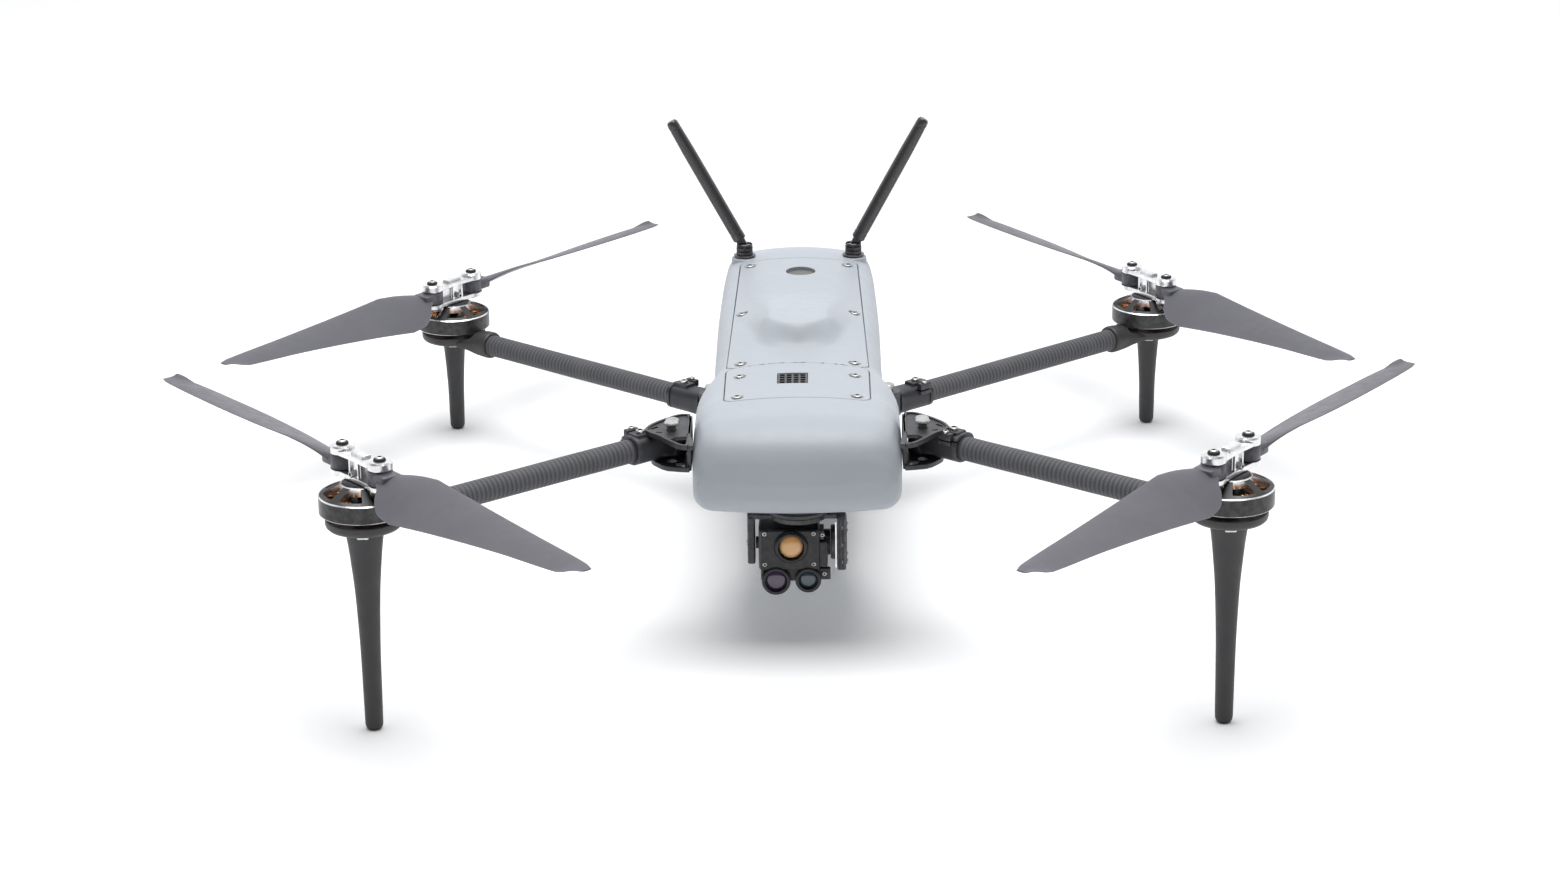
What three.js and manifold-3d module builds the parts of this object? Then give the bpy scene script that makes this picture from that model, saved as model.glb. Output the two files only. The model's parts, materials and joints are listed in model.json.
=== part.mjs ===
// A folding-arm quadcopter: a hull with two covers, four arms that fold on vertical hinges, a motor with a
// two-blade folding propeller and a leg on every arm, two aerials and a stabilised camera under the nose.
// Millimetres, +Z up, the nose towards -Y, the drone's own left towards +X, feet on z = 0.
import * as THREE from 'three';
import { mergeVertices } from 'three/addons/utils/BufferGeometryUtils.js';
import Module from 'manifold-3d';

const wasm = await Module();
wasm.setup();

// ---- driving dimensions ---------------------------------------------------------------------------------

const GAP = 0.3; // between two pieces that touch

const ARMS = [
  { name: 'front_left', side: 1, rear: false, tubeZ: 104, bladeAngle: 54.3 },
  { name: 'front_right', side: -1, rear: false, tubeZ: 104, bladeAngle: 129 },
  { name: 'rear_left', side: 1, rear: true, tubeZ: 56.6, bladeAngle: 123 },
  { name: 'rear_right', side: -1, rear: true, tubeZ: 56.6, bladeAngle: 51 },
];
const MOTOR = { x: 201.6, y: 223.9 };
const FRONT_HINGE = { x: 61.7, y: -107.5 };
const REAR_HINGE = { x: 48.6, y: 92.1 };

const TUBE = { radius: 6, bore: 5, start: 12, stop: 19.5 };
const KNUCKLE = { barrel: 7, socket: 7.4, length: 27, half: 6.9 };
const PLATE = { inner: 7.2, thick: 2.5, spacer: 2 };
const PLUNGER = { forward: 11.5, stem: 2.2, hole: 2.6, head: 3.7, lift: 1.8, tall: 3.8 };

const BELL = { radius: 20.9, wall: 2.1, side: 8.7, top: 14.5, crown: 9, bottom: 6, windows: 7 };
const MOUNT = { radius: 18.3, top: 3.2, bottom: -2.3, collar: 7.6 };
const STATOR = { radius: 17.6, core: 9, bearing: 3, bottom: 1.2, top: 7.2, teeth: 9 };
const LEG_TOP = MOUNT.bottom - GAP;
const FRONT_LEG = { shoulder: 9.2, neck: 7.6, middle: 5.4, foot: 4.3 };
const REAR_LEG = { shoulder: 6.6, neck: 5.5, middle: 4.7, foot: 4.1 };

const HUB = { pivot: 16, end: 6.2, low: 14.8, floor: 17.3, roof: 24.8, top: 27.2, post: 4.6, pin: 1.9 };
const BLADE = { tip: 178, eye: 6, bore: 2.2, half: 3.45, rootAngle: 4, widest: 50 };

const HULL = { top: 121, chin: 73.2, belly: 45, wall: 2.5, crown: 340, hip: 9 };
const SHOULDER = { nose: 13, tail: 9, from: 20, to: 150 };
const TUCK = { depth: 4.4, from: -60, to: -10 };
const NOSE_BEND = { start: -100, length: 45, radius: 300 };
const TAIL_BEND = { start: 150, length: 44, radius: 200 };
// stations along the hull: y, half width, underside, top
const HULL_STATIONS = [
  [-145.2, 43, 89.5, 95.5],
  [-144.4, 47, 84.5, 102],
  [-142.2, 49.8, 79.5, 107.6],
  [-138, 51.3, 75.6, 112.9],
  [-130.5, 51.5, 73.8, 117.2],
  [-117, 51.5, HULL.chin, 120.2],
  [-90, 51.5, HULL.chin, HULL.top],
  [-84, 51.5, 66.5, HULL.top],
  [-62, 51.3, 58.5, HULL.top],
  [-48, 49.8, 53.5, HULL.top],
  [-36, 46.6, 50, HULL.top],
  [-24, 43.9, 47, HULL.top],
  [-12, 43.6, HULL.belly, HULL.top],
  [60, 43.6, HULL.belly, HULL.top],
  [130, 42.3, HULL.belly, HULL.top],
  [168, 40.8, 48, HULL.top],
  [184, 39.6, 57, 119.4],
  [194, 34, 72, 110],
];
const COVER = { thick: 2.2, seam: 0.4, ledge: 3, corner: 5, low: 100, high: 140 };
const PANEL = { front: -36.5, rear: 156, frontHalf: 36.4, rearHalf: 32.4 };
const HATCH = { front: -93.5, rear: -37.1, half: 36.4 };
const GRILLE = { x: -2.4, y: -62.5, width: 15.6, length: 17, cells: 4, bar: 1.1, thick: 2 };
const HUMP = { front: -10.8, ridge: -3.2, flat: 36, rear: 92, half: 25.5, rise: 10.2, bend: 30, sunk: 1.6 };
const BUTTON = { y: 130, radius: 7.6, bottom: 112, top: 119.4 };
const BAY = { half: 34, front: -6, rear: 128, floor: 30, roof: 86 };
const BATTERY = { clearance: 0.6, bottom: 42.5, gripX: 36, gripFront: 96, gripRear: 122, gripTop: 52 };
const DECK = { half: 34, front: -92, rear: 148, bottom: 90, thick: 2 };

const AERIAL = { x: 30.5, y: 166, seat: 119.2, collar: 4.9, elbow: 124.5, lean: 28.5 };
const WHIP = { start: 5.5, radius: 3.7, tip: 3.3, straight: 53, length: 83.4 };
const PAN = { y: -114.5, radius: 15.8, bottom: 68.9, top: 72.9 };
const YOKE = { top: 68.6, bar: 2.5, left: -25.2, right: 23.7 };
const CAMERA = { left: -19.6, right: 10.8, half: 11, tiltZ: 52, front: -126, face: -128 };
const THERMAL_LENS = { x: -3.5, z: 54, ring: 8.2, hood: 3.4 };
const LOWER_LENSES = [
  { x: -11.1, z: 36, radius: 7.2 },
  { x: 4.8, z: 36.4, radius: 6.5 },
];

// ---- materials ------------------------------------------------------------------------------------------

const FINISHES = {
  shell: { color: 0xcdd5dc, roughness: 0.45, metalness: 0 },
  dark: { color: 0x4c4d50, roughness: 0.5, metalness: 0.1 },
  carbon: { color: 0x3c3d40, roughness: 0.6, metalness: 0 },
  aluminium: { color: 0xd9d9db, roughness: 0.25, metalness: 1 },
  black: { color: 0x1c1c1e, roughness: 0.35, metalness: 0.3 },
  copper: { color: 0xd08a55, roughness: 0.35, metalness: 1 },
  blade: { color: 0x6e6e78, roughness: 0.5, metalness: 0 },
  taupe: { color: 0x7f7f7b, roughness: 0.7, metalness: 0 },
  board: { color: 0x1f5a38, roughness: 0.6, metalness: 0 },
  glass: { color: 0xd8b075, roughness: 0.1, metalness: 0.6 },
};
const finish = (name) => new THREE.MeshStandardMaterial({ name, ...FINISHES[name] });

// ---- solids ---------------------------------------------------------------------------------------------

const radians = THREE.MathUtils.degToRad;

/** A geometry as a manifold solid whose faces point outwards. */
function toManifold(geometry) {
  const bare = geometry.clone();
  bare.deleteAttribute('normal');
  bare.deleteAttribute('uv');
  const merged = mergeVertices(bare, 1e-4);
  const triVerts = Uint32Array.from(merged.index.array);
  const vertProperties = Float32Array.from(merged.attributes.position.array);
  const build = () => new wasm.Manifold(new wasm.Mesh({ numProp: 3, vertProperties, triVerts }));
  const made = build();
  if (made.volume() > 0) return made;
  for (let i = 0; i < triVerts.length; i += 3) {
    [triVerts[i], triVerts[i + 1]] = [triVerts[i + 1], triVerts[i]];
  }
  return build();
}

function toGeometry(manifold) {
  const { vertProperties, triVerts } = manifold.getMesh();
  const geometry = new THREE.BufferGeometry();
  geometry.setAttribute('position', new THREE.BufferAttribute(Float32Array.from(vertProperties), 3));
  geometry.setIndex(new THREE.BufferAttribute(Uint32Array.from(triVerts), 1));
  return geometry;
}

function combine(operation, first, others) {
  let result = toManifold(first);
  for (const other of others) result = result[operation](toManifold(other));
  return toGeometry(result);
}
const join = (first, ...others) => combine('add', first, others);
const cut = (first, ...others) => combine('subtract', first, others);
const common = (first, ...others) => combine('intersect', first, others);

function box(x0, x1, y0, y1, z0, z1) {
  const geometry = new THREE.BoxGeometry(x1 - x0, y1 - y0, z1 - z0);
  return geometry.translate((x0 + x1) / 2, (y0 + y1) / 2, (z0 + z1) / 2);
}

/** An upright cylinder between two heights. */
function post(radius, z0, z1, x = 0, y = 0, segments = 12) {
  const geometry = new THREE.CylinderGeometry(radius, radius, z1 - z0, segments);
  return geometry.rotateX(Math.PI / 2).translate(x, y, (z0 + z1) / 2);
}

/** A cylinder along X between two places. */
function rod(radius, x0, x1, y = 0, z = 0, segments = 12) {
  const geometry = new THREE.CylinderGeometry(radius, radius, x1 - x0, segments);
  return geometry.rotateZ(Math.PI / 2).translate((x0 + x1) / 2, y, z);
}

/** A cylinder along Y between two places. */
function barrel(radius, y0, y1, x, z, segments = 12) {
  return new THREE.CylinderGeometry(radius, radius, y1 - y0, segments).translate(x, (y0 + y1) / 2, z);
}

/** A flat outline between two heights; points are [x, y] pairs. */
function prism(points, z0, z1) {
  const shape = new THREE.Shape(points.map(([x, y]) => new THREE.Vector2(x, y)));
  const geometry = new THREE.ExtrudeGeometry(shape, { depth: z1 - z0, bevelEnabled: false });
  return geometry.translate(0, 0, z0);
}

/** A profile of [radius, height] pairs turned about Z. */
function turned(profile, segments = 12) {
  const points = profile.map(([r, z]) => new THREE.Vector2(r, z));
  return new THREE.LatheGeometry(points, segments).rotateX(Math.PI / 2).scale(1, -1, 1);
}

/**
 * A solid through rings of points. A ring is an upper chain from low x to high x and a lower chain back
 * again, of equal length, so that each end is closed by quads between the two chains.
 */
function loft(rings) {
  const count = rings[0].length;
  const last = (rings.length - 1) * count;
  const index = [];
  const quad = (a, b, c, d) => index.push(a, b, c, a, c, d);
  for (let start = 0; start < last; start += count) {
    for (let i = 0; i < count; i += 1) {
      const next = (i + 1) % count;
      quad(start + i, start + next, start + count + next, start + count + i);
    }
  }
  for (let i = 0; i < count / 2 - 1; i += 1) {
    const j = count - 1 - i;
    quad(i, j, j - 1, i + 1);
    quad(last + i, last + i + 1, last + j - 1, last + j);
  }
  const geometry = new THREE.BufferGeometry();
  geometry.setAttribute('position', new THREE.Float32BufferAttribute(rings.flat(2), 3));
  geometry.setIndex(index);
  return geometry;
}

const mirrored = (points, side) => points.map(([x, y]) => [x * side, y]);

const group = new THREE.Group();
group.name = 'quadcopter';

function add(parent, name, geometry, material) {
  const mesh = new THREE.Mesh(toGeometry(toManifold(geometry)), finish(material));
  mesh.name = name;
  parent.add(mesh);
}

// ---- hull and covers ------------------------------------------------------------------------------------

/** How far back the nose, and how far forward the tail, bends at this distance from the middle. */
function bend(x, y) {
  const nose = THREE.MathUtils.clamp((NOSE_BEND.start - y) / NOSE_BEND.length, 0, 1);
  const tail = THREE.MathUtils.clamp((y - TAIL_BEND.start) / TAIL_BEND.length, 0, 1);
  return (x * x * nose) / NOSE_BEND.radius - (x * x * tail * tail) / TAIL_BEND.radius;
}

function hullRing(y, half, bottom, top) {
  const height = top - bottom;
  const { mapLinear, clamp } = THREE.MathUtils;
  const shoulder = clamp(mapLinear(y, SHOULDER.from, SHOULDER.to, SHOULDER.nose, SHOULDER.tail), 9, 13);
  const tuck = clamp(mapLinear(y, TUCK.from, TUCK.to, 0, TUCK.depth), 0, TUCK.depth);
  const upper = Math.min(shoulder, height * 0.5);
  const lower = Math.min(HULL.hip, height * 0.44);
  const crown = height / (HULL.top - HULL.belly) / HULL.crown;
  const chain = (radius, level, sign, wide) => {
    const points = [];
    for (let a = 180; a >= 90; a -= 30) {
      const reach = 1 - Math.sin(radians(a));
      points.push([-wide + radius + radius * Math.cos(radians(a)), level - sign * radius * reach]);
    }
    for (const share of [-0.5, 0, 0.5]) points.push([share * (wide - radius), level]);
    return points.concat(points.slice(0, 4).reverse().map(([x, z]) => [-x, z]));
  };
  const crowned = chain(upper, top, 1, half).map(([x, z]) => [x, z - x * x * crown]);
  const ring = crowned.concat(chain(lower, bottom, -1, half - tuck).reverse());
  return ring.map(([x, z]) => [x, y + bend(x, y), z]);
}

const hullBody = () => loft(HULL_STATIONS.map((station) => hullRing(...station)));

function hullCavity() {
  const inner = HULL_STATIONS.slice(2, -1).map(([y, half, bottom, top]) => {
    const inset = y < 0 ? HULL.wall : -HULL.wall;
    return hullRing(y + inset, half - HULL.wall, bottom + HULL.wall, top - HULL.wall);
  });
  return loft(inner);
}

/** The plan of a cover, with rounded corners and grown by an amount. */
function coverPlan({ front, rear, frontHalf, rearHalf }, grow) {
  const corner = COVER.corner;
  const outline = [];
  const corners = [
    [frontHalf, front, -90],
    [rearHalf, rear, 0],
    [-rearHalf, rear, 90],
    [-frontHalf, front, 180],
  ];
  for (const [x, y, from] of corners) {
    const cx = x - Math.sign(x) * (corner - grow);
    const cy = y + (y === front ? 1 : -1) * (corner - grow);
    for (const turn of [0, 45, 90]) {
      const angle = radians(from + turn);
      outline.push([cx + corner * Math.cos(angle), cy + corner * Math.sin(angle)]);
    }
  }
  return outline;
}

const panelPlan = (grow) => coverPlan(PANEL, grow);
const hatchPlan = (grow) => coverPlan({ ...HATCH, frontHalf: HATCH.half, rearHalf: HATCH.half }, grow);

/** A cover is the top skin of the hull inside its plan. */
function cover(plan) {
  const skin = common(hullBody(), prism(plan(0), COVER.low, COVER.high));
  return cut(skin, hullBody().translate(0, 0, -COVER.thick));
}

/** The seat of a cover: a shallow recess with a way through inside its ledge. */
function coverSeat(plan) {
  const underCover = hullBody().translate(0, 0, -COVER.thick - GAP);
  const recess = cut(prism(plan(COVER.seam), COVER.low, COVER.high), underCover);
  return join(recess, prism(plan(-COVER.ledge), COVER.low + 4, COVER.high));
}

function hump() {
  const stations = [
    [HUMP.front, 0.02],
    [HUMP.front + 2.4, 0.3],
    [HUMP.ridge - 2.4, 0.85],
    [HUMP.ridge, 1],
    [HUMP.flat, 0.92],
    [HUMP.rear, 0.02],
  ];
  const across = [-1, -0.8, -0.5, 0, 0.5, 0.8, 1];
  const shoulder = (share) => 1 - Math.abs(share) ** 5;
  const rings = stations.map(([y, rise]) => {
    const at = (share, lift) => {
      const x = share * HUMP.half;
      const curve = (x * x) / HUMP.bend;
      const fade = 1 - THREE.MathUtils.clamp((y - HUMP.ridge) / (HUMP.rear - HUMP.ridge), 0, 1);
      return [x, y + curve * fade, HULL.top - (x * x) / HULL.crown + lift];
    };
    const upper = across.map((share) => at(share, -0.3 + rise * HUMP.rise * shoulder(share)));
    const lower = across.map((share) => at(share, -HUMP.sunk)).reverse();
    return upper.concat(lower);
  });
  return loft(rings);
}

function addHull() {
  const bosses = [1, -1].map((side) => post(7.4, 108, AERIAL.seat, side * AERIAL.x, AERIAL.y));
  const bay = box(-BAY.half, BAY.half, BAY.front, BAY.rear, BAY.floor, BAY.roof);
  const shell = cut(hullBody(), hullCavity());
  const shellWithBosses = join(shell, ...bosses);
  add(group, 'hull_shell', cut(shellWithBosses, coverSeat(panelPlan), coverSeat(hatchPlan), bay), 'shell');

  const buttonHole = post(BUTTON.radius + GAP, 100, 140, 1, BUTTON.y, 16);
  add(group, 'top_panel', cut(join(cover(panelPlan), hump()), buttonHole), 'shell');
  const { x, y, width, length } = GRILLE;
  const grilleHole = box(x - width / 2, x + width / 2, y - length / 2, y + length / 2, COVER.low, COVER.high);
  add(group, 'access_hatch', cut(cover(hatchPlan), grilleHole), 'shell');
  add(group, 'power_button', post(BUTTON.radius, BUTTON.bottom, BUTTON.top, 1, BUTTON.y, 16), 'taupe');
}

function addGrille() {
  const { x, y, width, length, cells, bar, thick } = GRILLE;
  const w = width - 2 * GAP;
  const l = length - 2 * GAP;
  const pitchX = (w - bar) / cells;
  const pitchY = (l - bar) / cells;
  const top = HULL.top - 0.5;
  const holes = [];
  for (let i = 0; i < cells; i += 1) {
    for (let j = 0; j < cells; j += 1) {
      const x0 = x - w / 2 + bar + i * pitchX;
      const y0 = y - l / 2 + bar + j * pitchY;
      holes.push(box(x0, x0 + pitchX - bar, y0, y0 + pitchY - bar, COVER.low, COVER.high));
    }
  }
  const plate = box(x - w / 2, x + w / 2, y - l / 2, y + l / 2, top - thick, top);
  add(group, 'vent_grille', cut(plate, ...holes), 'black');
}

function addInsides() {
  const { half, front, rear, bottom, thick } = DECK;
  const lightening = [-50, 0, 50, 100].map((y) => post(9, 80, 100, 0, y));
  const deck = box(-half, half, front, rear, bottom, bottom + thick);
  add(group, 'chassis_plate', cut(deck, ...lightening), 'carbon');

  const { clearance: c, gripX, gripFront, gripRear, gripTop } = BATTERY;
  const packHalf = BAY.half - c;
  const pack = box(-packHalf, packHalf, BAY.front + c, BAY.rear - c, BATTERY.bottom, BAY.roof - c);
  const grips = [1, -1].map((side) =>
    box(side * gripX - 6, side * gripX + 6, gripFront, gripRear, BATTERY.bottom - 2, gripTop));
  add(group, 'battery_pack', cut(pack, ...grips), 'dark');

  const chips = [[-16, -30, 22, 5], [14, 4, 16, 3.5], [-10, 40, 18, 6], [16, 62, 12, 4]];
  const blocks = chips.map(([x, y, size, tall]) =>
    box(x - size / 2, x + size / 2, y - size / 2, y + size / 2, 97, 98.6 + tall));
  const feet = [[-24, -56], [24, -56], [-24, 84], [24, 84]];
  const pillars = feet.map(([x, y]) => post(2.5, bottom + thick + GAP, 97.5, x, y, 8));
  add(group, 'control_board', join(box(-29, 29, -62, 90, 97, 98.6), ...blocks, ...pillars), 'board');
}

// ---- arms -----------------------------------------------------------------------------------------------

// plans of the hinge plates, from the hinge axis: outwards, rearwards on a front arm
const FRONT_PLATE = [
  [-9.8, 11], [-3.1, 11.7], [5.6, 2.9], [11.3, -5.1], [13.5, -12.5], [10.3, -17.5],
  [5.8, -21.8], [1.2, -29.2], [-4.3, -36.6], [-9.8, -38.5], [-11.6, -38.4], [-11.1, -30], [-9.8, -22],
];
const FRONT_LOWER_PLATE = [
  [-9.8, 10.5], [-3.1, 11.5], [5.3, 3.5], [10.8, -4.5], [10.2, -10],
  [3.5, -19.6], [-3.9, -21.6], [-9.8, -22.5],
];
const REAR_PLATE = [
  [-8.6, -7.8], [2.7, -7.8], [8, -1], [9.5, 8], [6, 17], [-2, 24], [-5.5, 29], [-8.6, 31],
];

function hingeBracket({ side, rear }) {
  const { inner, thick } = PLATE;
  const plates = rear ? [REAR_PLATE, REAR_PLATE] : [FRONT_PLATE, FRONT_LOWER_PLATE];
  const upper = prism(mirrored(plates[0], side), inner, inner + thick);
  const lower = prism(mirrored(plates[1], side), -inner - thick, -inner);
  const [web0, web1] = rear ? [10.5, 30.5] : [-20, 8];
  const root = side * (rear ? -8.6 : -9.8);
  const face = root + side * 2;
  const web = box(Math.min(root, face), Math.max(root, face), web0, web1, -inner - thick, inner + thick);
  const [spacerX, spacerY] = rear ? [-2, 20] : [1.2, -16.8];
  const spacer = post(PLATE.spacer, -inner - 1, inner + 1, side * spacerX, spacerY, 8);
  const pin = post(2.4, -inner - thick - 1.2, inner + thick + 1);
  const head = post(4, -inner - thick - 1.6, -inner - thick + 0.4);
  const cap = post(3.4, inner + thick - 0.4, inner + thick + 1.2);
  const way = plungerPlace(side, rear);
  const hole = post(PLUNGER.hole, -20, 20, way.x, way.y);
  return cut(join(upper, lower, web, spacer, pin, head, cap), hole);
}

const plungerPlace = (side, rear) => ({ x: rear ? -side * 3 : 0, y: (rear ? 1 : -1) * PLUNGER.forward });

/** The pull-up plunger beside the hinge; the rear one hangs under its plate. */
function lockPlunger({ side, rear }) {
  const { inner, thick } = PLATE;
  const { stem, head, lift, tall } = PLUNGER;
  const shaft = post(stem, inner + GAP, inner + thick + lift + 1);
  const knob = post(head, inner + thick + lift, inner + thick + lift + tall);
  const place = plungerPlace(side, rear);
  const upright = join(shaft, knob);
  return (rear ? upright.rotateX(Math.PI) : upright).translate(place.x, place.y, 0);
}

function armKnuckle() {
  const { barrel: ring, socket, length, half } = KNUCKLE;
  const round = post(ring, -half, half, 0, 0, 16);
  const sleeve = rod(socket, 5, length);
  const flat = box(0, length, -20, 20, -half, half);
  const body = join(round, common(sleeve, flat));
  const clamp = post(2.6, 3, 9.4, 21.5, 0, 8);
  return cut(join(body, clamp), post(2.4 + GAP, -20, 20), rod(TUBE.radius + GAP, TUBE.start, 60));
}

function motorMount() {
  const { radius, top, bottom, collar } = MOUNT;
  const rim = [[radius - 2.5, bottom], [radius, bottom + 2], [radius, top]];
  const disc = turned([[0, bottom], ...rim, [0, top]], 18);
  const neck = rod(collar, -31, -13);
  const bellRoom = post(BELL.radius + 1.4, top, 20, 0, 0, 24);
  const socket = rod(TUBE.radius + GAP, -60, -TUBE.stop + GAP);
  return cut(join(disc, cut(neck, bellRoom)), socket);
}

function landingLeg({ rear, tubeZ }) {
  const { shoulder, neck, middle, foot } = rear ? REAR_LEG : FRONT_LEG;
  const long = tubeZ + LEG_TOP;
  const profile = [
    [0, 0], [foot - 1.2, 0], [foot - 0.3, 1.2], [foot, 3.4], [foot + 0.4, long * 0.35], [middle, long * 0.55],
    [neck, long * 0.88], [shoulder, long], [0, long],
  ];
  return turned(profile, 14).translate(0, 0, -tubeZ);
}

/** Windings as round lobes about a core, on a foot that stands on the mount. */
function motorStator() {
  const { radius, core, bearing, bottom, top, teeth } = STATOR;
  const outline = [];
  for (let tooth = 0; tooth < teeth; tooth += 1) {
    const middle = (tooth + 0.5) * (360 / teeth);
    for (const [turn, reach] of [[-0.36, radius], [0.36, radius], [0.5, core + 3]]) {
      const angle = radians(middle + turn * (360 / teeth));
      outline.push([reach * Math.cos(angle), reach * Math.sin(angle)]);
    }
  }
  const lobes = prism(outline, bottom, top);
  const foot = post(core, MOUNT.top - BELL.bottom + GAP, bottom + 1);
  return cut(join(lobes, foot), post(bearing, -20, 20)).translate(0, 0, BELL.bottom);
}

function bellWindow(from, to, reach0, reach1) {
  const arc = (reach, a, b) => [a, b].map((angle) =>
    [reach * Math.cos(radians(angle)), reach * Math.sin(radians(angle))]);
  return prism([...arc(reach0, from, to), ...arc(reach1, to, from)], 3, 20);
}

function motorBell() {
  const { radius, wall, side, top, crown, windows } = BELL;
  const inside = radius - wall;
  const profile = [
    [0, -1.6], [2.5, -1.6], [2.5, top - 3], [crown - 1, top - 3], [inside, side - 1.6], [inside, 0],
    [radius, 0], [radius, side], [crown, top], [0, top],
  ];
  const step = 360 / windows;
  const holes = [];
  for (let i = 0; i < windows; i += 1) {
    holes.push(bellWindow(i * step + 8, (i + 1) * step - 8, crown + 1.2, inside - 0.8));
  }
  return cut(turned(profile, 14), ...holes);
}

/** Two plates with round ends over a middle post, with a pin for each blade. */
function propHub() {
  const { pivot, end, low, floor, roof, top, post: middle, pin } = HUB;
  const ends = [1, -1].map((side) => side * pivot);
  const plate = (z0, z1, neck) =>
    join(box(-pivot, pivot, -neck, neck, z0, z1), ...ends.map((x) => post(end, z0, z1, x, 0)));
  const pins = ends.map((x) => post(pin, floor - 1, roof + 1, x, 0, 8));
  const core = box(-middle, middle, -middle, middle, low, top);
  return join(plate(low, floor, end - 1.6), plate(roof, top, end - 1.2), core, ...pins);
}

/** A blade section: leading and trailing reach from the pivot line, thickness and twist at a distance. */
const BLADE_STATIONS = [
  [21, 5.8, -5.8, 6.9, 4],
  [32, 8.2, -14.5, 4.8, 21],
  [BLADE.widest, 11, -20.6, 3.2, 29],
  [80, 10, -17.4, 2.6, 21],
  [130, 7.6, -11.9, 1.8, 13],
  [BLADE.tip - 5, 5.4, -7.2, 1.2, 8],
  [BLADE.tip, 3.4, -6.2, 1, 8],
];

/** turns is +1 for a blade that flies anticlockwise seen from above. */
function propBlade(turns) {
  const section = [[0, 0], [0.2, 0.45], [0.6, 0.4], [1, 0]];
  const rings = BLADE_STATIONS.map(([reach, lead, trail, thick, twist]) => {
    const angle = radians(twist);
    const at = (share, height) => {
      const across = lead + (trail - lead) * share;
      const x = across * Math.cos(angle) - height * Math.sin(angle);
      const z = across * Math.sin(angle) + height * Math.cos(angle);
      return [reach, turns * x, z];
    };
    const upper = section.map(([share, height]) => at(share, height * thick));
    const lower = section.map(([share, height]) => at(share, -height * thick - 0.1));
    return upper.concat(lower.reverse());
  });
  const { pivot, floor, roof } = HUB;
  const middle = (floor + roof) / 2;
  const eye = join(post(BLADE.eye, -BLADE.half, BLADE.half, pivot, 0, 10), box(pivot, 25, -5.6, 5.6, -3, 3));
  const hole = post(BLADE.bore, -10, 10, pivot, 0, 8);
  const clearance = post(BLADE.eye + 1.5, BLADE.half, 20, pivot, 0, 8);
  const underside = post(BLADE.eye + 1.5, -20, -BLADE.half, pivot, 0, 8);
  return cut(join(loft(rings), eye), hole, clearance, underside).translate(0, 0, middle);
}

function addArm(arm) {
  const { name, side, rear, tubeZ, bladeAngle } = arm;
  const hinge = rear ? REAR_HINGE : FRONT_HINGE;
  const end = rear ? 1 : -1;
  const across = MOTOR.x - hinge.x;
  const along = end * MOTOR.y - hinge.y;
  const reach = Math.hypot(across, along);

  const root = new THREE.Group();
  root.position.set(side * hinge.x, hinge.y, tubeZ);
  group.add(root);
  add(root, `hinge_bracket_${name}`, hingeBracket(arm), 'dark');
  add(root, `lock_plunger_${name}`, lockPlunger(arm), 'aluminium');

  const swing = new THREE.Group();
  swing.rotation.z = Math.atan2(along, side * across);
  root.add(swing);
  add(swing, `arm_knuckle_${name}`, armKnuckle(), 'dark');
  const tube = cut(rod(TUBE.radius, TUBE.start + GAP, reach - TUBE.stop), rod(TUBE.bore, 0, reach, 0, 0, 10));
  add(swing, `arm_tube_${name}`, tube, 'carbon');

  const motor = new THREE.Group();
  motor.position.x = reach;
  swing.add(motor);
  add(motor, `motor_mount_${name}`, motorMount(), 'dark');
  add(motor, `landing_leg_${name}`, landingLeg(arm), 'dark');
  add(motor, `motor_stator_${name}`, motorStator(), 'copper');

  const rotor = new THREE.Group();
  rotor.position.z = BELL.bottom;
  rotor.rotation.z = radians(bladeAngle) - swing.rotation.z;
  motor.add(rotor);
  add(rotor, `motor_bell_${name}`, motorBell(), 'black');
  add(rotor, `prop_hub_${name}`, propHub(), 'aluminium');
  const turns = (rear ? 1 : -1) * side;
  for (const [letter, turn] of [['a', 0], ['b', Math.PI]]) {
    const holder = new THREE.Group();
    holder.rotation.z = turn;
    rotor.add(holder);
    add(holder, `prop_blade_${letter}_${name}`, propBlade(turns), 'blade');
  }
}

// ---- aerials --------------------------------------------------------------------------------------------

/** A grooved collar with a fork on top, and a rod that leans outwards from the fork. */
function addAerial(side, name) {
  const { x, y, seat, collar, elbow, lean } = AERIAL;
  const low = seat + GAP;
  const profile = [[0, low], [collar + 1.2, low], [collar + 1.2, low + 1.2]];
  for (const ring of [2.6, 5.8]) {
    profile.push([collar - 0.7, low + ring - 0.5], [collar, low + ring], [collar, low + ring + 1]);
  }
  profile.push([collar - 0.6, elbow + 2.4], [0, elbow + 2.4]);
  const slot = box(-9, 9, -1.8, 1.8, elbow - 3.4, elbow + 9);
  const base = cut(turned(profile, 14), slot).translate(side * x, y, 0);
  add(group, `antenna_base_${name}`, base, 'black');

  const holder = new THREE.Group();
  holder.position.set(side * x, y, elbow);
  holder.rotation.y = side * radians(lean);
  group.add(holder);
  const tongue = join(barrel(2.6, -1.5, 1.5, 0, 0), box(-2.6, 2.6, -1.5, 1.5, 0, 9));
  const { start, radius, tip, straight, length } = WHIP;
  const barrelEnd = [[0, start], [radius, start], [radius, straight]];
  const roundedEnd = [[tip, length - 3], [tip - 1.4, length], [0, length]];
  add(holder, `antenna_rod_${name}`, join(tongue, turned([...barrelEnd, ...roundedEnd])), 'black');
}

// ---- camera ---------------------------------------------------------------------------------------------

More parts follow.
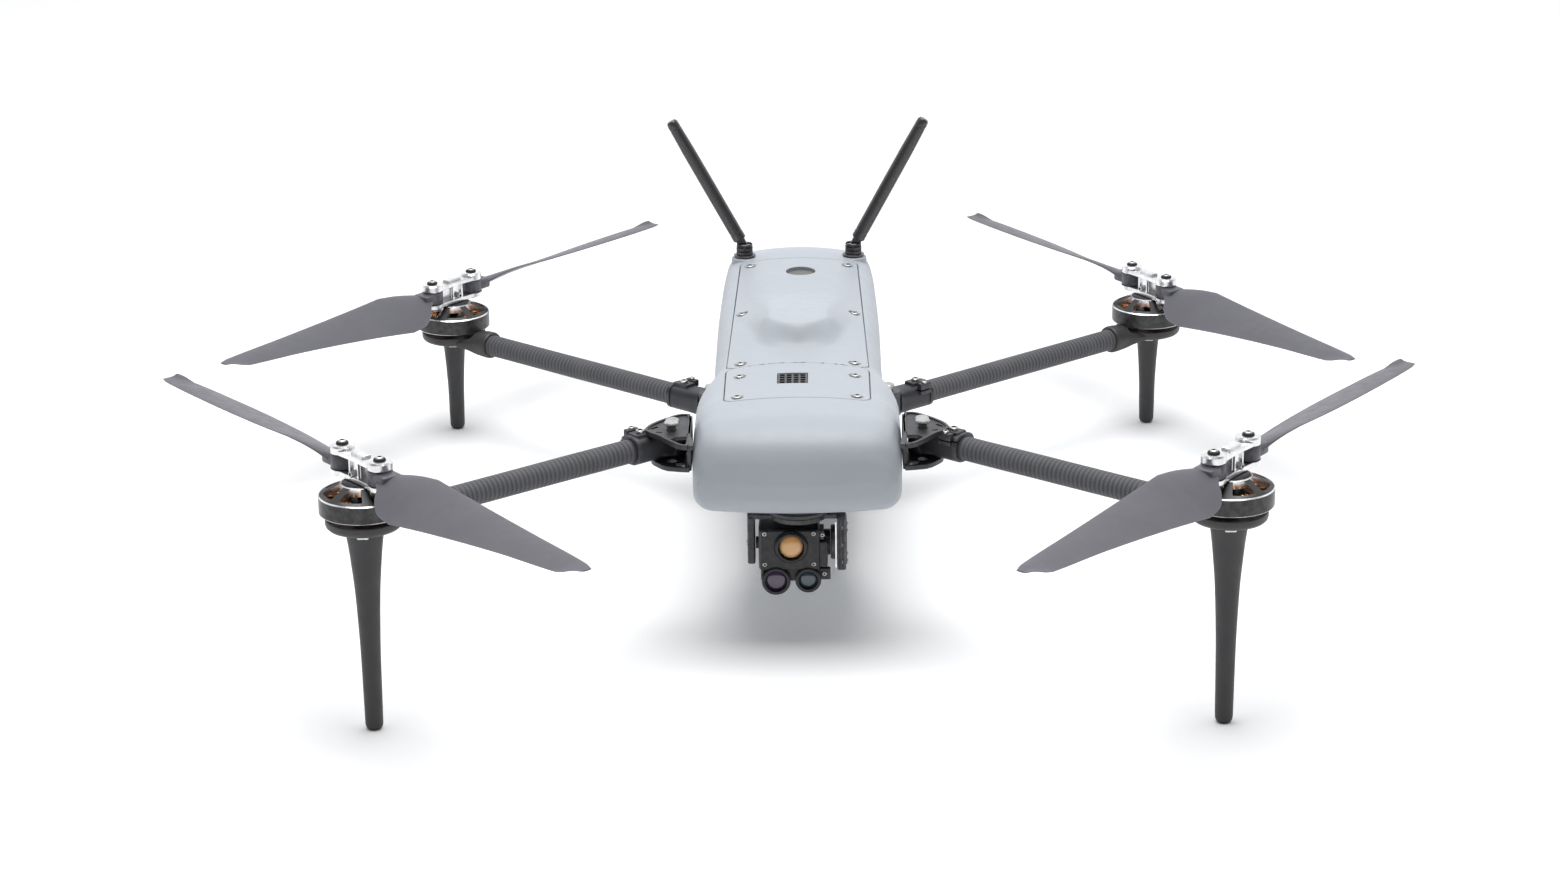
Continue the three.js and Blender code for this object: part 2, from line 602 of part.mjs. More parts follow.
function addCamera() {
  const { y, radius, bottom, top } = PAN;
  add(group, 'gimbal_base', post(radius, bottom, top, 0, y, 20), 'dark');

  const under = YOKE.top - YOKE.bar;
  const bar = box(YOKE.left, YOKE.right, y - 6, y + 6, under, YOKE.top);
  const disc = post(radius - 1.5, under, YOKE.top, 0, y, 20);
  const slimArm = box(YOKE.left, YOKE.left + 3.8, y - 6, y + 6, CAMERA.tiltZ - 9.5, YOKE.top);
  const motorArm = box(YOKE.right - 4.4, YOKE.right, y - 9, y + 9, CAMERA.tiltZ - 12, YOKE.top);
  const drum = rod(8.6, YOKE.right - 7.6, YOKE.right - 2, y, CAMERA.tiltZ, 16);
  add(group, 'gimbal_yoke', join(bar, disc, slimArm, motorArm, drum), 'dark');

  const { left, right, half, tiltZ, front, face } = CAMERA;
  const housing = box(left, right, front, y + half, tiltZ - half, tiltZ + half);
  const rounding = rod(13.7, left - 1, right + 1, y, tiltZ, 24);
  const shelf = box(left + 1.5, right - 0.5, front + 1, y + 2, tiltZ - half - 6, tiltZ - half + 1);
  const barrels = LOWER_LENSES.map(({ x, z, radius: r }) => barrel(r, face, y + 2, x, z, 16));
  const trunnion = rod(3, YOKE.left + 3.8 + GAP, left + 1, y, tiltZ, 8);
  const rollMotor = rod(6.5, right - 1, YOKE.right - 7.6 - GAP, y, tiltZ, 12);
  const bowls = LOWER_LENSES.map(({ x, z, radius: r }) => barrel(r - 1.8, face - 1, face + 1.6, x, z, 12));
  const eye = barrel(THERMAL_LENS.ring + GAP, front - 5, front + 2, THERMAL_LENS.x, THERMAL_LENS.z, 20);
  const body = join(common(housing, rounding), shelf, ...barrels, trunnion, rollMotor);
  add(group, 'camera_head', cut(body, ...bowls, eye), 'black');

  const { x, z, ring, hood } = THERMAL_LENS;
  const tubeOut = barrel(ring, front - hood, front + 2 - GAP, x, z, 16);
  const hollow = barrel(ring - 1.6, front - hood - 1, front - 0.8, x, z, 16);
  add(group, 'thermal_lens', cut(tubeOut, hollow), 'glass');
}

addHull();
addGrille();
addInsides();
ARMS.forEach(addArm);
addAerial(1, 'left');
addAerial(-1, 'right');
addCamera();

export default group;
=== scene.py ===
"""The looks of a folding quadcopter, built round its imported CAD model.

Shapes are worked out in millimetres, Z up, the nose towards -Y, and are placed in metres.
A shell is a triple (points, faces, paint), where paint holds each face's material number.
"""
import json
import math

import bmesh
import bpy
import numpy as np
from mathutils import Matrix, Vector


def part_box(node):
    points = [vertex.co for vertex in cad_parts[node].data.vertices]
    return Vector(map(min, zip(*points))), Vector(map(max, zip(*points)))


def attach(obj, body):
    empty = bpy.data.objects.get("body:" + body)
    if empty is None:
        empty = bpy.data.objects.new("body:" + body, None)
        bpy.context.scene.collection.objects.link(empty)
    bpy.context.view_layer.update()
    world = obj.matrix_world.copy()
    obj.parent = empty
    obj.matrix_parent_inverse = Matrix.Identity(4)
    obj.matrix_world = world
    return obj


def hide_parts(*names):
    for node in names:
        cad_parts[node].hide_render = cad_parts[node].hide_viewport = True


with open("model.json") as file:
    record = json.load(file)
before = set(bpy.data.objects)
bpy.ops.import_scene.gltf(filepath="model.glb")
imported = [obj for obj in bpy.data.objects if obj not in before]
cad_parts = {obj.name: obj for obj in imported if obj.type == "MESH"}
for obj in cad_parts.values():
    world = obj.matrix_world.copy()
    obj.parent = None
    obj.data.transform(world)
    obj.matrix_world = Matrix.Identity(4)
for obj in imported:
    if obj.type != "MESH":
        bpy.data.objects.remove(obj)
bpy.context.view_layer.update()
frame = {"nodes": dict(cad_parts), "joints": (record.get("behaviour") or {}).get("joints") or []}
scene = bpy.context.scene
scene.view_settings.view_transform = "Standard"

MM = 0.001
JOINTS = {joint["name"]: joint for joint in frame["joints"]}
TAU = 2 * math.pi


def joint_place(name):
    return Vector(JOINTS[name]["pos_m"]) / MM


# ---- camera, light and floor ----------------------------------------------------------------------------

CAMERA_PLACE = (14.3, -1898.1, 712.9)
CAMERA_LENS = 88.18
CAMERA_PITCH, CAMERA_YAW, CAMERA_ROLL = (math.radians(a) for a in (18.786, -0.731, -0.750))


def make_camera():
    data = bpy.data.cameras.new("camera")
    data.sensor_width, data.lens = 36, CAMERA_LENS
    data.clip_start, data.clip_end = 0.05, 60
    cosp, sinp = math.cos(CAMERA_PITCH), math.sin(CAMERA_PITCH)
    cosy, siny = math.cos(CAMERA_YAW), math.sin(CAMERA_YAW)
    forward = Vector((siny * cosp, cosy * cosp, -sinp))
    level = Vector((cosy, -siny, 0))
    upright = level.cross(forward)
    right = math.cos(CAMERA_ROLL) * level + math.sin(CAMERA_ROLL) * upright
    up = -math.sin(CAMERA_ROLL) * level + math.cos(CAMERA_ROLL) * upright
    camera = bpy.data.objects.new("camera", data)
    scene.collection.objects.link(camera)
    turn = Matrix((right, up, -forward)).transposed().to_4x4()
    camera.matrix_world = Matrix.Translation(Vector(CAMERA_PLACE) * MM) @ turn
    scene.camera = camera


def make_light(name, place, aim, size, power):
    data = bpy.data.lights.new(name, "AREA")
    data.shape, data.size, data.size_y = "RECTANGLE", size[0], size[1]
    data.energy = power
    light = bpy.data.objects.new(name, data)
    scene.collection.objects.link(light)
    light.location = place
    light.rotation_euler = (Vector(aim) - Vector(place)).to_track_quat("-Z", "Y").to_euler()


DIM_FRONT, BRIGHT_REAR = 0.2, 1.2
FLOOR_HALF = 7


def make_stage():
    """An overhead softbox before a white backdrop: the studio is light behind the object and dim in front."""
    world = bpy.data.worlds.new("studio")
    scene.world = world
    world.use_nodes = True
    tree = world.node_tree
    where = tree.nodes.new("ShaderNodeTexCoord")
    split = tree.nodes.new("ShaderNodeSeparateXYZ")
    tree.links.new(where.outputs["Generated"], split.inputs[0])
    fade = tree.nodes.new("ShaderNodeMapRange")
    fade.interpolation_type = "SMOOTHSTEP"
    for key, value in (("From Min", -0.35), ("From Max", 0.6), ("To Min", DIM_FRONT), ("To Max", BRIGHT_REAR)):
        fade.inputs[key].default_value = value
    tree.links.new(split.outputs["Y"], fade.inputs["Value"])
    seen = tree.nodes.new("ShaderNodeLightPath")
    strength = tree.nodes.new("ShaderNodeMix")
    strength.inputs["B"].default_value = 1.0
    tree.links.new(seen.outputs["Is Camera Ray"], strength.inputs["Factor"])
    tree.links.new(fade.outputs[0], strength.inputs["A"])
    background = tree.nodes["Background"]
    background.inputs["Color"].default_value = (0.97, 0.98, 1.0, 1)
    tree.links.new(strength.outputs["Result"], background.inputs["Strength"])
    make_light("overhead", (0, -0.05, 2.3), (0, -0.05, 0), (1.9, 1.7), 54)

    mesh = bpy.data.meshes.new("floor")
    corners = [(x * FLOOR_HALF, y * FLOOR_HALF, 0) for x, y in ((-1, -1), (1, -1), (1, 1), (-1, 1))]
    mesh.from_pydata(corners, [], [(0, 1, 2, 3)])
    floor = bpy.data.objects.new("floor", mesh)
    scene.collection.objects.link(floor)
    paint = bpy.data.materials.new("floor_paper")
    paint.use_nodes = True
    shader = paint.node_tree.nodes["Principled BSDF"]
    shader.inputs["Base Color"].default_value = (0.93, 0.93, 0.93, 1)
    shader.inputs["Roughness"].default_value = 0.9
    shader.inputs["Specular IOR Level"].default_value = 0.1
    mesh.materials.append(paint)


make_camera()
make_stage()

# ---- materials ------------------------------------------------------------------------------------------


class Nodes:
    """A node-based material that is written as expressions."""

    def __init__(self, name):
        self.material = bpy.data.materials.new(name)
        self.material.use_nodes = True
        self.tree = self.material.node_tree
        self.shader = self.tree.nodes["Principled BSDF"]
        coordinates = self.tree.nodes.new("ShaderNodeTexCoord")
        self.local = coordinates.outputs["Object"]
        self.uv = coordinates.outputs["UV"]

    def node(self, kind, inputs=(), **settings):
        made = self.tree.nodes.new(kind)
        for key, value in settings.items():
            setattr(made, key, value)
        for key, value in dict(inputs).items():
            self.put(made.inputs[key], value)
        return made

    def put(self, socket, value):
        if isinstance(value, bpy.types.NodeSocket):
            self.tree.links.new(value, socket)
        else:
            socket.default_value = value

    def maths(self, operation, *values):
        return self.node("ShaderNodeMath", enumerate(values), operation=operation).outputs[0]

    def ramp(self, value, low, high, to_low=0.0, to_high=1.0):
        inputs = {"Value": value, "From Min": low, "From Max": high, "To Min": to_low, "To Max": to_high}
        return self.node("ShaderNodeMapRange", inputs, clamp=True).outputs[0]

    def noise(self, size, detail=2.0):
        """Noise with blobs about size millimetres wide."""
        inputs = {"Vector": self.local, "Scale": 1 / (size * MM), "Detail": detail}
        return self.node("ShaderNodeTexNoise", inputs).outputs["Fac"]

    def mix(self, amount, first, second):
        made = self.node("ShaderNodeMix", data_type="RGBA")
        self.put(made.inputs["Factor"], amount)
        for socket, value in zip([s for s in made.inputs if s.type == "RGBA"], (first, second)):
            self.put(socket, (*value, 1) if isinstance(value, tuple) else value)
        return next(s for s in made.outputs if s.type == "RGBA")

    def edges(self, low, high):
        """0 on flats and 1 on worn convex edges."""
        return self.ramp(self.node("ShaderNodeNewGeometry").outputs["Pointiness"], low, high)

    def bump(self, height, distance, strength=1.0):
        inputs = {"Height": height, "Distance": distance * MM, "Strength": strength}
        made = self.node("ShaderNodeBump", inputs)
        self.put(self.shader.inputs["Normal"], made.outputs["Normal"])

    def set(self, **values):
        for name, value in values.items():
            self.put(self.shader.inputs[name.replace("_", " ")], value)
        return self.material


def grainy(name, colour, rough, grain=0.35, depth=0.02, metal=0.0, blotch=0.08, wear=None, coat=0.0):
    """A moulded, painted or anodised finish: fine grain, faint blotches, and worn edges of the colour wear."""
    n = Nodes(name)
    darker = tuple(c * (1 - blotch) for c in colour)
    lighter = tuple(min(1, c * (1 + blotch)) for c in colour)
    blotches = n.ramp(n.noise(22, 3), 0.3, 0.7)
    fine = n.noise(grain, 2)
    shade = n.mix(blotches, darker, lighter)
    if wear:
        worn = n.maths("MULTIPLY", n.edges(0.53, 0.6), n.ramp(n.noise(3, 4), 0.35, 0.65))
        shade = n.mix(n.maths("MULTIPLY", worn, 0.7), shade, wear)
    roughness = n.ramp(n.noise(6, 3), 0.25, 0.75, rough - 0.06, rough + 0.07)
    n.bump(fine, depth)
    n.set(Base_Color=shade, Roughness=roughness, Metallic=metal, Coat_Weight=coat, Specular_IOR_Level=0.5)
    return n.material


def brushed(name, colour, rough, scale=0.25, depth=0.006, deep=0.75):
    """Bare machined metal with cutter marks."""
    n = Nodes(name)
    marks = n.noise(scale, 3)
    dull = tuple(c * deep for c in colour)
    shade = n.mix(n.ramp(n.noise(5, 3), 0.3, 0.7), dull, colour)
    n.bump(marks, depth)
    n.set(Base_Color=shade, Roughness=n.ramp(marks, 0.3, 0.7, rough - 0.07, rough + 0.1), Metallic=1.0)
    return n.material


def woven():
    """A two-by-two twill of carbon tows on a tube, whose UV map is in millimetres round and along it."""
    n = Nodes("carbon_twill")
    tow = 0.9
    split = n.node("ShaderNodeSeparateXYZ", {"Vector": n.uv})
    across = n.maths("DIVIDE", n.maths("ADD", split.outputs[0], split.outputs[1]), tow * math.sqrt(2))
    along = n.maths("DIVIDE", n.maths("SUBTRACT", split.outputs[1], split.outputs[0]), tow * math.sqrt(2))
    cell = n.maths("ADD", n.maths("FLOOR", across), n.maths("FLOOR", along))
    over = n.maths("LESS_THAN", n.maths("MODULO", n.maths("ADD", cell, 400.0), 4.0), 1.5)
    humps = []
    for value in (across, along):
        share = n.maths("FRACT", n.maths("ADD", value, 400.0))
        humps.append(n.maths("SINE", n.maths("MULTIPLY", share, math.pi)))
    height = n.node("ShaderNodeMix", {"Factor": over}, data_type="FLOAT")
    for socket, value in zip([s for s in height.inputs if s.type == "VALUE"][1:], humps):
        n.put(socket, value)
    weave = next(s for s in height.outputs if s.type == "VALUE")
    tone = n.mix(over, (0.066, 0.067, 0.073), (0.118, 0.119, 0.128))
    groove = n.mix(n.ramp(weave, 0.0, 0.35), (0.034, 0.034, 0.037), tone)
    dusty = n.mix(n.ramp(n.noise(14, 3), 0.45, 0.8, 0.0, 0.25), groove, (0.16, 0.16, 0.165))
    n.bump(weave, 0.05, 0.8)
    n.set(Base_Color=dusty, Roughness=n.ramp(weave, 0.0, 1.0, 0.72, 0.6), Specular_IOR_Level=0.3)
    return n.material


def lens(name, deep, rim, rough=0.06):
    """Coated glass: a deep colour in the middle that turns to a lighter one at grazing angles, a painted sheen.
    """
    n = Nodes(name)
    facing = n.node("ShaderNodeLayerWeight", {"Blend": 0.35}).outputs["Facing"]
    n.set(Base_Color=n.mix(facing, deep, rim), Roughness=rough, Coat_Weight=1.0, Coat_Roughness=0.02)
    n.bump(n.noise(8, 1), 0.002)
    return n.material


SHELL = grainy("shell_satin", (0.381, 0.413, 0.448), 0.46, grain=0.45, depth=0.012, blotch=0.018)
DARK = grainy("anodised_dark", (0.040, 0.040, 0.046), 0.42, grain=0.25, metal=0.35, wear=(0.128, 0.128, 0.134))
MOULDED = grainy("moulded_dark", (0.033, 0.033, 0.035), 0.50, grain=0.5, depth=0.03, wear=(0.070, 0.070, 0.070))
MOUNT_DARK = grainy("mount_dark", (0.040, 0.039, 0.040), 0.48, grain=0.4, wear=(0.083, 0.083, 0.083))
BLACK = grainy("camera_black", (0.011, 0.011, 0.012), 0.38, grain=0.2, metal=0.2, wear=(0.064, 0.064, 0.070))
BELL_BLACK = grainy("bell_black", (0.030, 0.030, 0.031), 0.34, grain=0.2, metal=0.5, wear=(0.128, 0.128, 0.128))
GLOSS = grainy("gloss_dark", (0.037, 0.036, 0.038), 0.26, grain=1.2, depth=0.006, coat=0.3)
BLADE = grainy("blade_satin", (0.082, 0.081, 0.097), 0.42, 0.3, 0.012, blotch=0.05, wear=(0.154, 0.154, 0.173))
ALUMINIUM = brushed("machined_bright", (0.88, 0.88, 0.89), 0.24)
STEEL = brushed("screw_steel", (0.55, 0.55, 0.54), 0.30, scale=0.4)
COPPER = brushed("copper_enamel", (0.93, 0.46, 0.22), 0.22, scale=0.6, deep=0.6)
TAUPE = grainy("button_rubber", (0.150, 0.148, 0.138), 0.62, grain=0.3, depth=0.03)
# Near-black: painted shade inside the screw sockets and on the sheet under the vent bars, and the real colour
# of the hub's dark washers.
SHADE_AND_WASHER_BLACK = grainy("painted_shade_and_washer_black", (0.010, 0.010, 0.011), 0.75)
LIGHT = grainy("lamp_window", (0.90, 0.91, 0.90), 0.30, blotch=0.02)
BOARD = grainy("board_green", (0.03, 0.13, 0.06), 0.4)
# The second colour of each lens is its painted sheen at grazing angles.
GOLD = lens("lens_gold", (0.72, 0.36, 0.11), (0.85, 0.70, 0.50), 0.05)
PURPLE = lens("lens_purple", (0.030, 0.008, 0.050), (0.10, 0.08, 0.14))
TEAL = lens("lens_teal", (0.006, 0.035, 0.050), (0.10, 0.12, 0.14))
CARBON = woven()

# ---- shells ---------------------------------------------------------------------------------------------


def merged(*shells):
    points, faces, paint = [], [], []
    for p, f, m in shells:
        start = len(points)
        points.extend(p)
        faces.extend([tuple(i + start for i in face) for face in f])
        paint.extend(m)
    return points, faces, paint


def placed(shell, matrix):
    points, faces, paint = shell
    if matrix.to_3x3().determinant() < 0:
        faces = [tuple(reversed(face)) for face in faces]
    return [matrix @ Vector(p) for p in points], faces, paint


def at(shell, x=0.0, y=0.0, z=0.0):
    return placed(shell, Matrix.Translation((x, y, z)))


def painted(shell, number):
    return shell[0], shell[1], [number] * len(shell[1])


def turned(profile, segments=48):
    """Radius and height pairs turned about Z, each with the material number of the band that starts there."""
    points, rings, faces, paint = [], [], [], []
    for row in profile:
        radius, height = row[:2]
        if radius < 1e-6:
            rings.append([len(points)] * segments)
            points.append((0, 0, height))
            continue
        rings.append(list(range(len(points), len(points) + segments)))
        for i in range(segments):
            a = TAU * i / segments
            points.append((radius * math.cos(a), radius * math.sin(a), height))
    for k, row in enumerate(profile[:-1]):
        number = row[2] if len(row) > 2 else 0
        for i in range(segments):
            j = (i + 1) % segments
            face = [rings[k][i], rings[k][j], rings[k + 1][j], rings[k + 1][i]]
            face = tuple(dict.fromkeys(face))
            if len(face) > 2:
                faces.append(face)
                paint.append(number)
    return points, faces, paint


def loft(rings, number=0, close=True):
    """A solid through rings of equal length. Each end is closed by strips between the ring's two halves."""
    count = len(rings[0])
    points = [p for ring in rings for p in ring]
    faces = []
    for k in range(len(rings) - 1):
        for i in range(count):
            j = (i + 1) % count
            faces.append((k * count + i, k * count + j, (k + 1) * count + j, (k + 1) * count + i))
    if close:
        last = (len(rings) - 1) * count
        for i in range(count // 2 - 1):
            j = count - 1 - i
            faces.append((i, j, j - 1, i + 1))
            faces.append((last + i, last + i + 1, last + j - 1, last + j))
    return points, faces, [number] * len(faces)


def prism(outline, z0, z1, number=0):
    n = len(outline)
    points = [(x, y, z0) for x, y in outline] + [(x, y, z1) for x, y in outline]
    faces = [tuple(range(n - 1, -1, -1)), tuple(range(n, 2 * n))]
    faces += [(i, (i + 1) % n, n + (i + 1) % n, n + i) for i in range(n)]
    return points, faces, [number] * len(faces)


def block(x0, x1, y0, y1, z0, z1, number=0):
    return prism([(x0, y0), (x1, y0), (x1, y1), (x0, y1)], z0, z1, number)


def to_bmesh(shell):
    work = bmesh.new()
    vertices = [work.verts.new(p) for p in shell[0]]
    for face, number in zip(shell[1], shell[2]):
        work.faces.new([vertices[i] for i in face]).material_index = number
    bmesh.ops.recalc_face_normals(work, faces=work.faces)
    return work


def from_bmesh(work):
    work.verts.index_update()
    shell = (
        [v.co.copy() for v in work.verts],
        [tuple(v.index for v in f.verts) for f in work.faces],
        [f.material_index for f in work.faces],
    )
    work.free()
    return shell


def rounded(shell, width, segments=2, angle=30):
    """The same shell with its sharp edges rounded."""
    work = to_bmesh(shell)
    sharp = [e for e in work.edges if len(e.link_faces) == 2 and e.calc_face_angle(0) > math.radians(angle)]
    bmesh.ops.bevel(
        work, geom=sharp, offset=width, segments=segments, profile=0.5, affect="EDGES", clamp_overlap=True)
    return from_bmesh(work)


def to_mesh(name, shell):
    mesh = bpy.data.meshes.new(name)
    work = to_bmesh(shell)
    work.to_mesh(mesh)
    work.free()
    return mesh


def cut(shell, *cutters, solver="EXACT", operation="DIFFERENCE"):
    """A shell less other shells. Its new faces keep the material numbers of the cutters."""
    target = bpy.data.objects.new("target", to_mesh("target", shell))
    tool = bpy.data.objects.new("tool", to_mesh("tool", merged(*cutters)))
    for obj in (target, tool):
        scene.collection.objects.link(obj)
        for material in (SHELL, DARK, BLACK, STEEL):
            obj.data.materials.append(material)
    modifier = target.modifiers.new("cut", "BOOLEAN")
    modifier.operation, modifier.object, modifier.solver = operation, tool, solver
    if solver == "EXACT":
        modifier.use_self = len(cutters) > 1
        modifier.material_mode = "INDEX"
    graph = bpy.context.evaluated_depsgraph_get()
    work = bmesh.new()
    work.from_object(target, graph)
    for obj in (target, tool):
        mesh = obj.data
        bpy.data.objects.remove(obj)
        bpy.data.meshes.remove(mesh)
    return from_bmesh(work)


def smoothed(rows, per):
    """Rows of numbers with per steps between neighbours, along curves that never overshoot."""
    rows = np.array(rows, float)
    steps = np.maximum(np.sqrt((np.diff(rows, axis=0) ** 2).sum(1)), 1e-6)
    slope = np.diff(rows, axis=0) / steps[:, None]
    tangent = np.zeros_like(rows)
    tangent[0], tangent[-1] = slope[0], slope[-1]
    for i in range(1, len(rows) - 1):
        a, b = slope[i - 1], slope[i]
        same = a * b > 0
        tangent[i] = np.where(same, 2 * a * b / np.where(same, a + b, 1), 0)
    out = []
    for i, step in enumerate(steps):
        for k in range(per):
            t = k / per
            out.append(
                rows[i] * (1 + 2 * t) * (1 - t) ** 2
                + tangent[i] * step * t * (1 - t) ** 2
                + rows[i + 1] * t * t * (3 - 2 * t)
                + tangent[i + 1] * step * t * t * (t - 1)
            )
    out.append(rows[-1])
    return [list(row) for row in out]


def piece(name, shell, materials, body, nodes=(), place=None, sharp=32, weighted=True):
    """One shown object: it moves with a CAD body and stands for the CAD nodes."""
    if place is not None:
        shell = placed(shell, place)
    mesh = to_mesh(name, ([Vector(p) * MM for p in shell[0]], shell[1], shell[2]))
    mesh.shade_smooth()
    mesh.set_sharp_from_angle(angle=math.radians(sharp))
    for material in materials:
        mesh.materials.append(material)
    obj = bpy.data.objects.new(name, mesh)
    scene.collection.objects.link(obj)
    if weighted:
        obj.modifiers.new("normals", "WEIGHTED_NORMAL").keep_sharp = True
    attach(obj, body)
    if nodes:
        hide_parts(*([nodes] if isinstance(nodes, str) else nodes))
    return obj


def hexagon(radius, floor, number):
    """The inside of a hexagon socket, from its floor up; its number is the near-black of painted shade in every
    screw.
    """
    return painted(turned([(0, floor), (radius, floor), (radius, 9), (0, 9)], 6), number)


def pan_screw(radius=2.5, tall=1.5, steel=0, socket=1):
    """A round-headed screw with a hexagon socket, standing on z = 0."""
    head = turned(
        [(0, -1), (radius, -1), (radius, tall * 0.35), (radius * 0.93, tall * 0.7),
         (radius * 0.76, tall * 0.93), (radius * 0.52, tall), (0, tall)], 20)
    return cut(painted(head, steel), hexagon(radius * 0.48, tall * 0.35, socket))


def cap_screw(radius=2.2, tall=2.4, steel=0, socket=1):
    """A straight-sided socket screw, standing on z = 0."""
    head = turned([(0, -1), (radius, -1), (radius, tall - 0.3), (radius - 0.3, tall), (0, tall)], 20)
    return cut(painted(head, steel), hexagon(radius * 0.55, tall * 0.4, socket))


UPSIDE_DOWN = Matrix.Rotation(math.pi, 4, "X")
TO_FRONT = Matrix.Rotation(math.pi / 2, 4, "X")  # +Z becomes -Y
TO_LEFT = Matrix.Rotation(math.pi / 2, 4, "Y")  # +Z becomes +X

# ---- hull and covers ------------------------------------------------------------------------------------

HULL_TOP = 121
CROWN = 340 * 76
SEAM = 0.45
# y, half width, underside, top
HULL_STATIONS = smoothed(
    [
        [-145.5, 40, 91.8, 92.8], [-145.2, 43, 89.5, 95.5], [-144.4, 47, 84.5, 102],
        [-142.2, 49.8, 79.5, 107.6],
        [-138, 51.3, 75.6, 112.9], [-130.5, 51.5, 73.8, 117.2], [-117, 51.5, 73.2, 120.2],
        [-90, 51.5, 73.2, HULL_TOP], [-84, 51.5, 66.5, HULL_TOP], [-62, 51.3, 58.5, HULL_TOP],
        [-48, 49.8, 53.5, HULL_TOP], [-36, 46.6, 50, HULL_TOP], [-24, 43.9, 47, HULL_TOP],
        [-12, 43.6, 45, HULL_TOP], [60, 43.6, 45, HULL_TOP],
        [130, 42.3, 45, HULL_TOP], [168, 40.8, 48, HULL_TOP], [184, 39.6, 57, 119.4], [194, 34, 72, 110],
    ],
    6,
)
STATION_Y, _, STATION_LOW, STATION_TOP = (list(column) for column in zip(*HULL_STATIONS))


# where the bend starts, where it is complete, and its radius on the plan
NOSE_BEND, TAIL_BEND = (-100, -145, 300), (150, 194, 200)
FRONT_CORNER, REAR_CORNER, BELLY_CORNER = 13, 9, 9
BELLY_TUCK = 4.4
HUMP_RISE, HUMP_END = 9.3, 94


def fraction(value, start, end):
    """How far a value is from start to end, from 0 to 1."""
    return min(1, max(0, (value - start) / (end - start)))


def eased(part):
    return part * part * (3 - 2 * part)


def bend(x, y):
    """How far the skin is pulled in from the middle's line at the nose and the tail."""
    nose = fraction(y, *NOSE_BEND[:2])
    tail = fraction(y, *TAIL_BEND[:2])
    return x * x * nose / NOSE_BEND[2] - x * x * tail * tail / TAIL_BEND[2]


def hull_ring(y, half, low, top, arc=8, flat=19):
    """One station of the hull: its half width and its lowest and highest levels."""
    height = top - low
    tightening = (FRONT_CORNER - REAR_CORNER) * (y - 20) / 130
    shoulder = min(FRONT_CORNER, max(REAR_CORNER, FRONT_CORNER - tightening))
    tuck = BELLY_TUCK * fraction(y, -60, -10)

    def chain(radius, level, sign, wide):
        points = []
        for k in range(arc + 1):
            a = math.pi - math.pi / 2 * k / arc
            points.append((-wide + radius + radius * math.cos(a), level - sign * radius * (1 - math.sin(a))))
        inner = wide - radius
        points += [(inner * (2 * k / (flat + 1) - 1), level) for k in range(1, flat + 1)]
        return points + [(-x, z) for x, z in reversed(points[: arc + 1])]

    upper = [(x, z - x * x * height / CROWN) for x, z in chain(min(shoulder, height * 0.5), top, 1, half)]
    ring = upper + list(reversed(chain(min(BELLY_CORNER, height * 0.44), low, -1, half - tuck)))
    return [(x, y + bend(x, y), z) for x, z in ring]


def hull_height(x, y):
    """The height of the hull's top skin."""
    along = y - bend(x, y)
    top = np.interp(along, STATION_Y, STATION_TOP)
    low = np.interp(along, STATION_Y, STATION_LOW)
    return top - x * x * (top - low) / CROWN


def hump_height(x, y):
    """A scoop with a steep face at the front under a horseshoe ridge, falling away to the rear."""
    foot = -9.2 + 19 * (abs(x) / 24) ** 4.5
    ridge = x * x / 17 if abs(x) < 17 else 17 + 2 * (abs(x) - 17)
    face = fraction(y, foot, ridge)
    face = face * 0.6 + eased(face) * 0.4
    spread = fraction(y, 8, 48)
    side = fraction(abs(x) - 15.5 + 4 * spread, 0, 9 + 11 * spread)
    return HUMP_RISE * face * (1 - eased(fraction(y, ridge, HUMP_END))) * (1 - eased(side))


def plate_grid(plan, grow, drop, height, rows, columns):
    """Rows of points over a plan (front, rear, half width there and there, corner), grown by an amount."""
    front, rear, half_front, half_rear, corner = plan
    radius = corner + grow
    low, high = front - grow, rear + grow
    ends = [radius * (1 - math.cos(math.pi / 2 * k / 8)) for k in range(8)]
    middle = [low + radius + (high - low - 2 * radius) * k / rows for k in range(rows + 1)]
    lines = [low + e for e in ends] + middle + [high - e for e in reversed(ends)]
    grid = []
    for y in lines:
        into = max(0, radius - min(y - low, high - y))
        inset = radius - math.sqrt(max(0, radius**2 - into**2))
        half = half_front + (half_rear - half_front) * (y - front) / (rear - front) + grow - inset
        row = [half * (2 * k / columns - 1) for k in range(columns + 1)]
        grid.append([(x, y, height(x, y) + drop) for x in row])
    return grid


def plate(plan, levels, height, rows=24, columns=24):
    """A closed plate that follows a height function. Levels are (grow, drop) pairs from its underside up."""
    grids = [plate_grid(plan, grow, drop, height, rows, columns) for grow, drop in levels]
    lines = len(grids[0])
    loop = [(0, k) for k in range(columns)] + [(i, columns) for i in range(lines - 1)]
    loop += [(lines - 1, k) for k in range(columns, 0, -1)] + [(i, 0) for i in range(lines - 1, 0, -1)]
    points, faces = [], []

    def sheet(grid):
        start = len(points)
        points.extend(p for row in grid for p in row)
        return start, columns + 1

    bottom, wide = sheet(grids[0])
    top, _ = sheet(grids[-1])
    for start, flip in ((bottom, True), (top, False)):
        for i in range(lines - 1):
            for k in range(columns):
                a = start + i * wide + k
                face = (a, a + 1, a + wide + 1, a + wide)
                faces.append(tuple(reversed(face)) if flip else face)
    loops = [[bottom + i * wide + k for i, k in loop]]
    for grid in grids[1:-1]:
        loops.append(list(range(len(points), len(points) + len(loop))))
        points.extend(grid[i][k] for i, k in loop)
    loops.append([top + i * wide + k for i, k in loop])
    for under, over in zip(loops, loops[1:]):
        for k in range(len(loop)):
            j = (k + 1) % len(loop)
            faces.append((under[k], under[j], over[j], over[k]))
    return points, faces, [0] * len(faces)


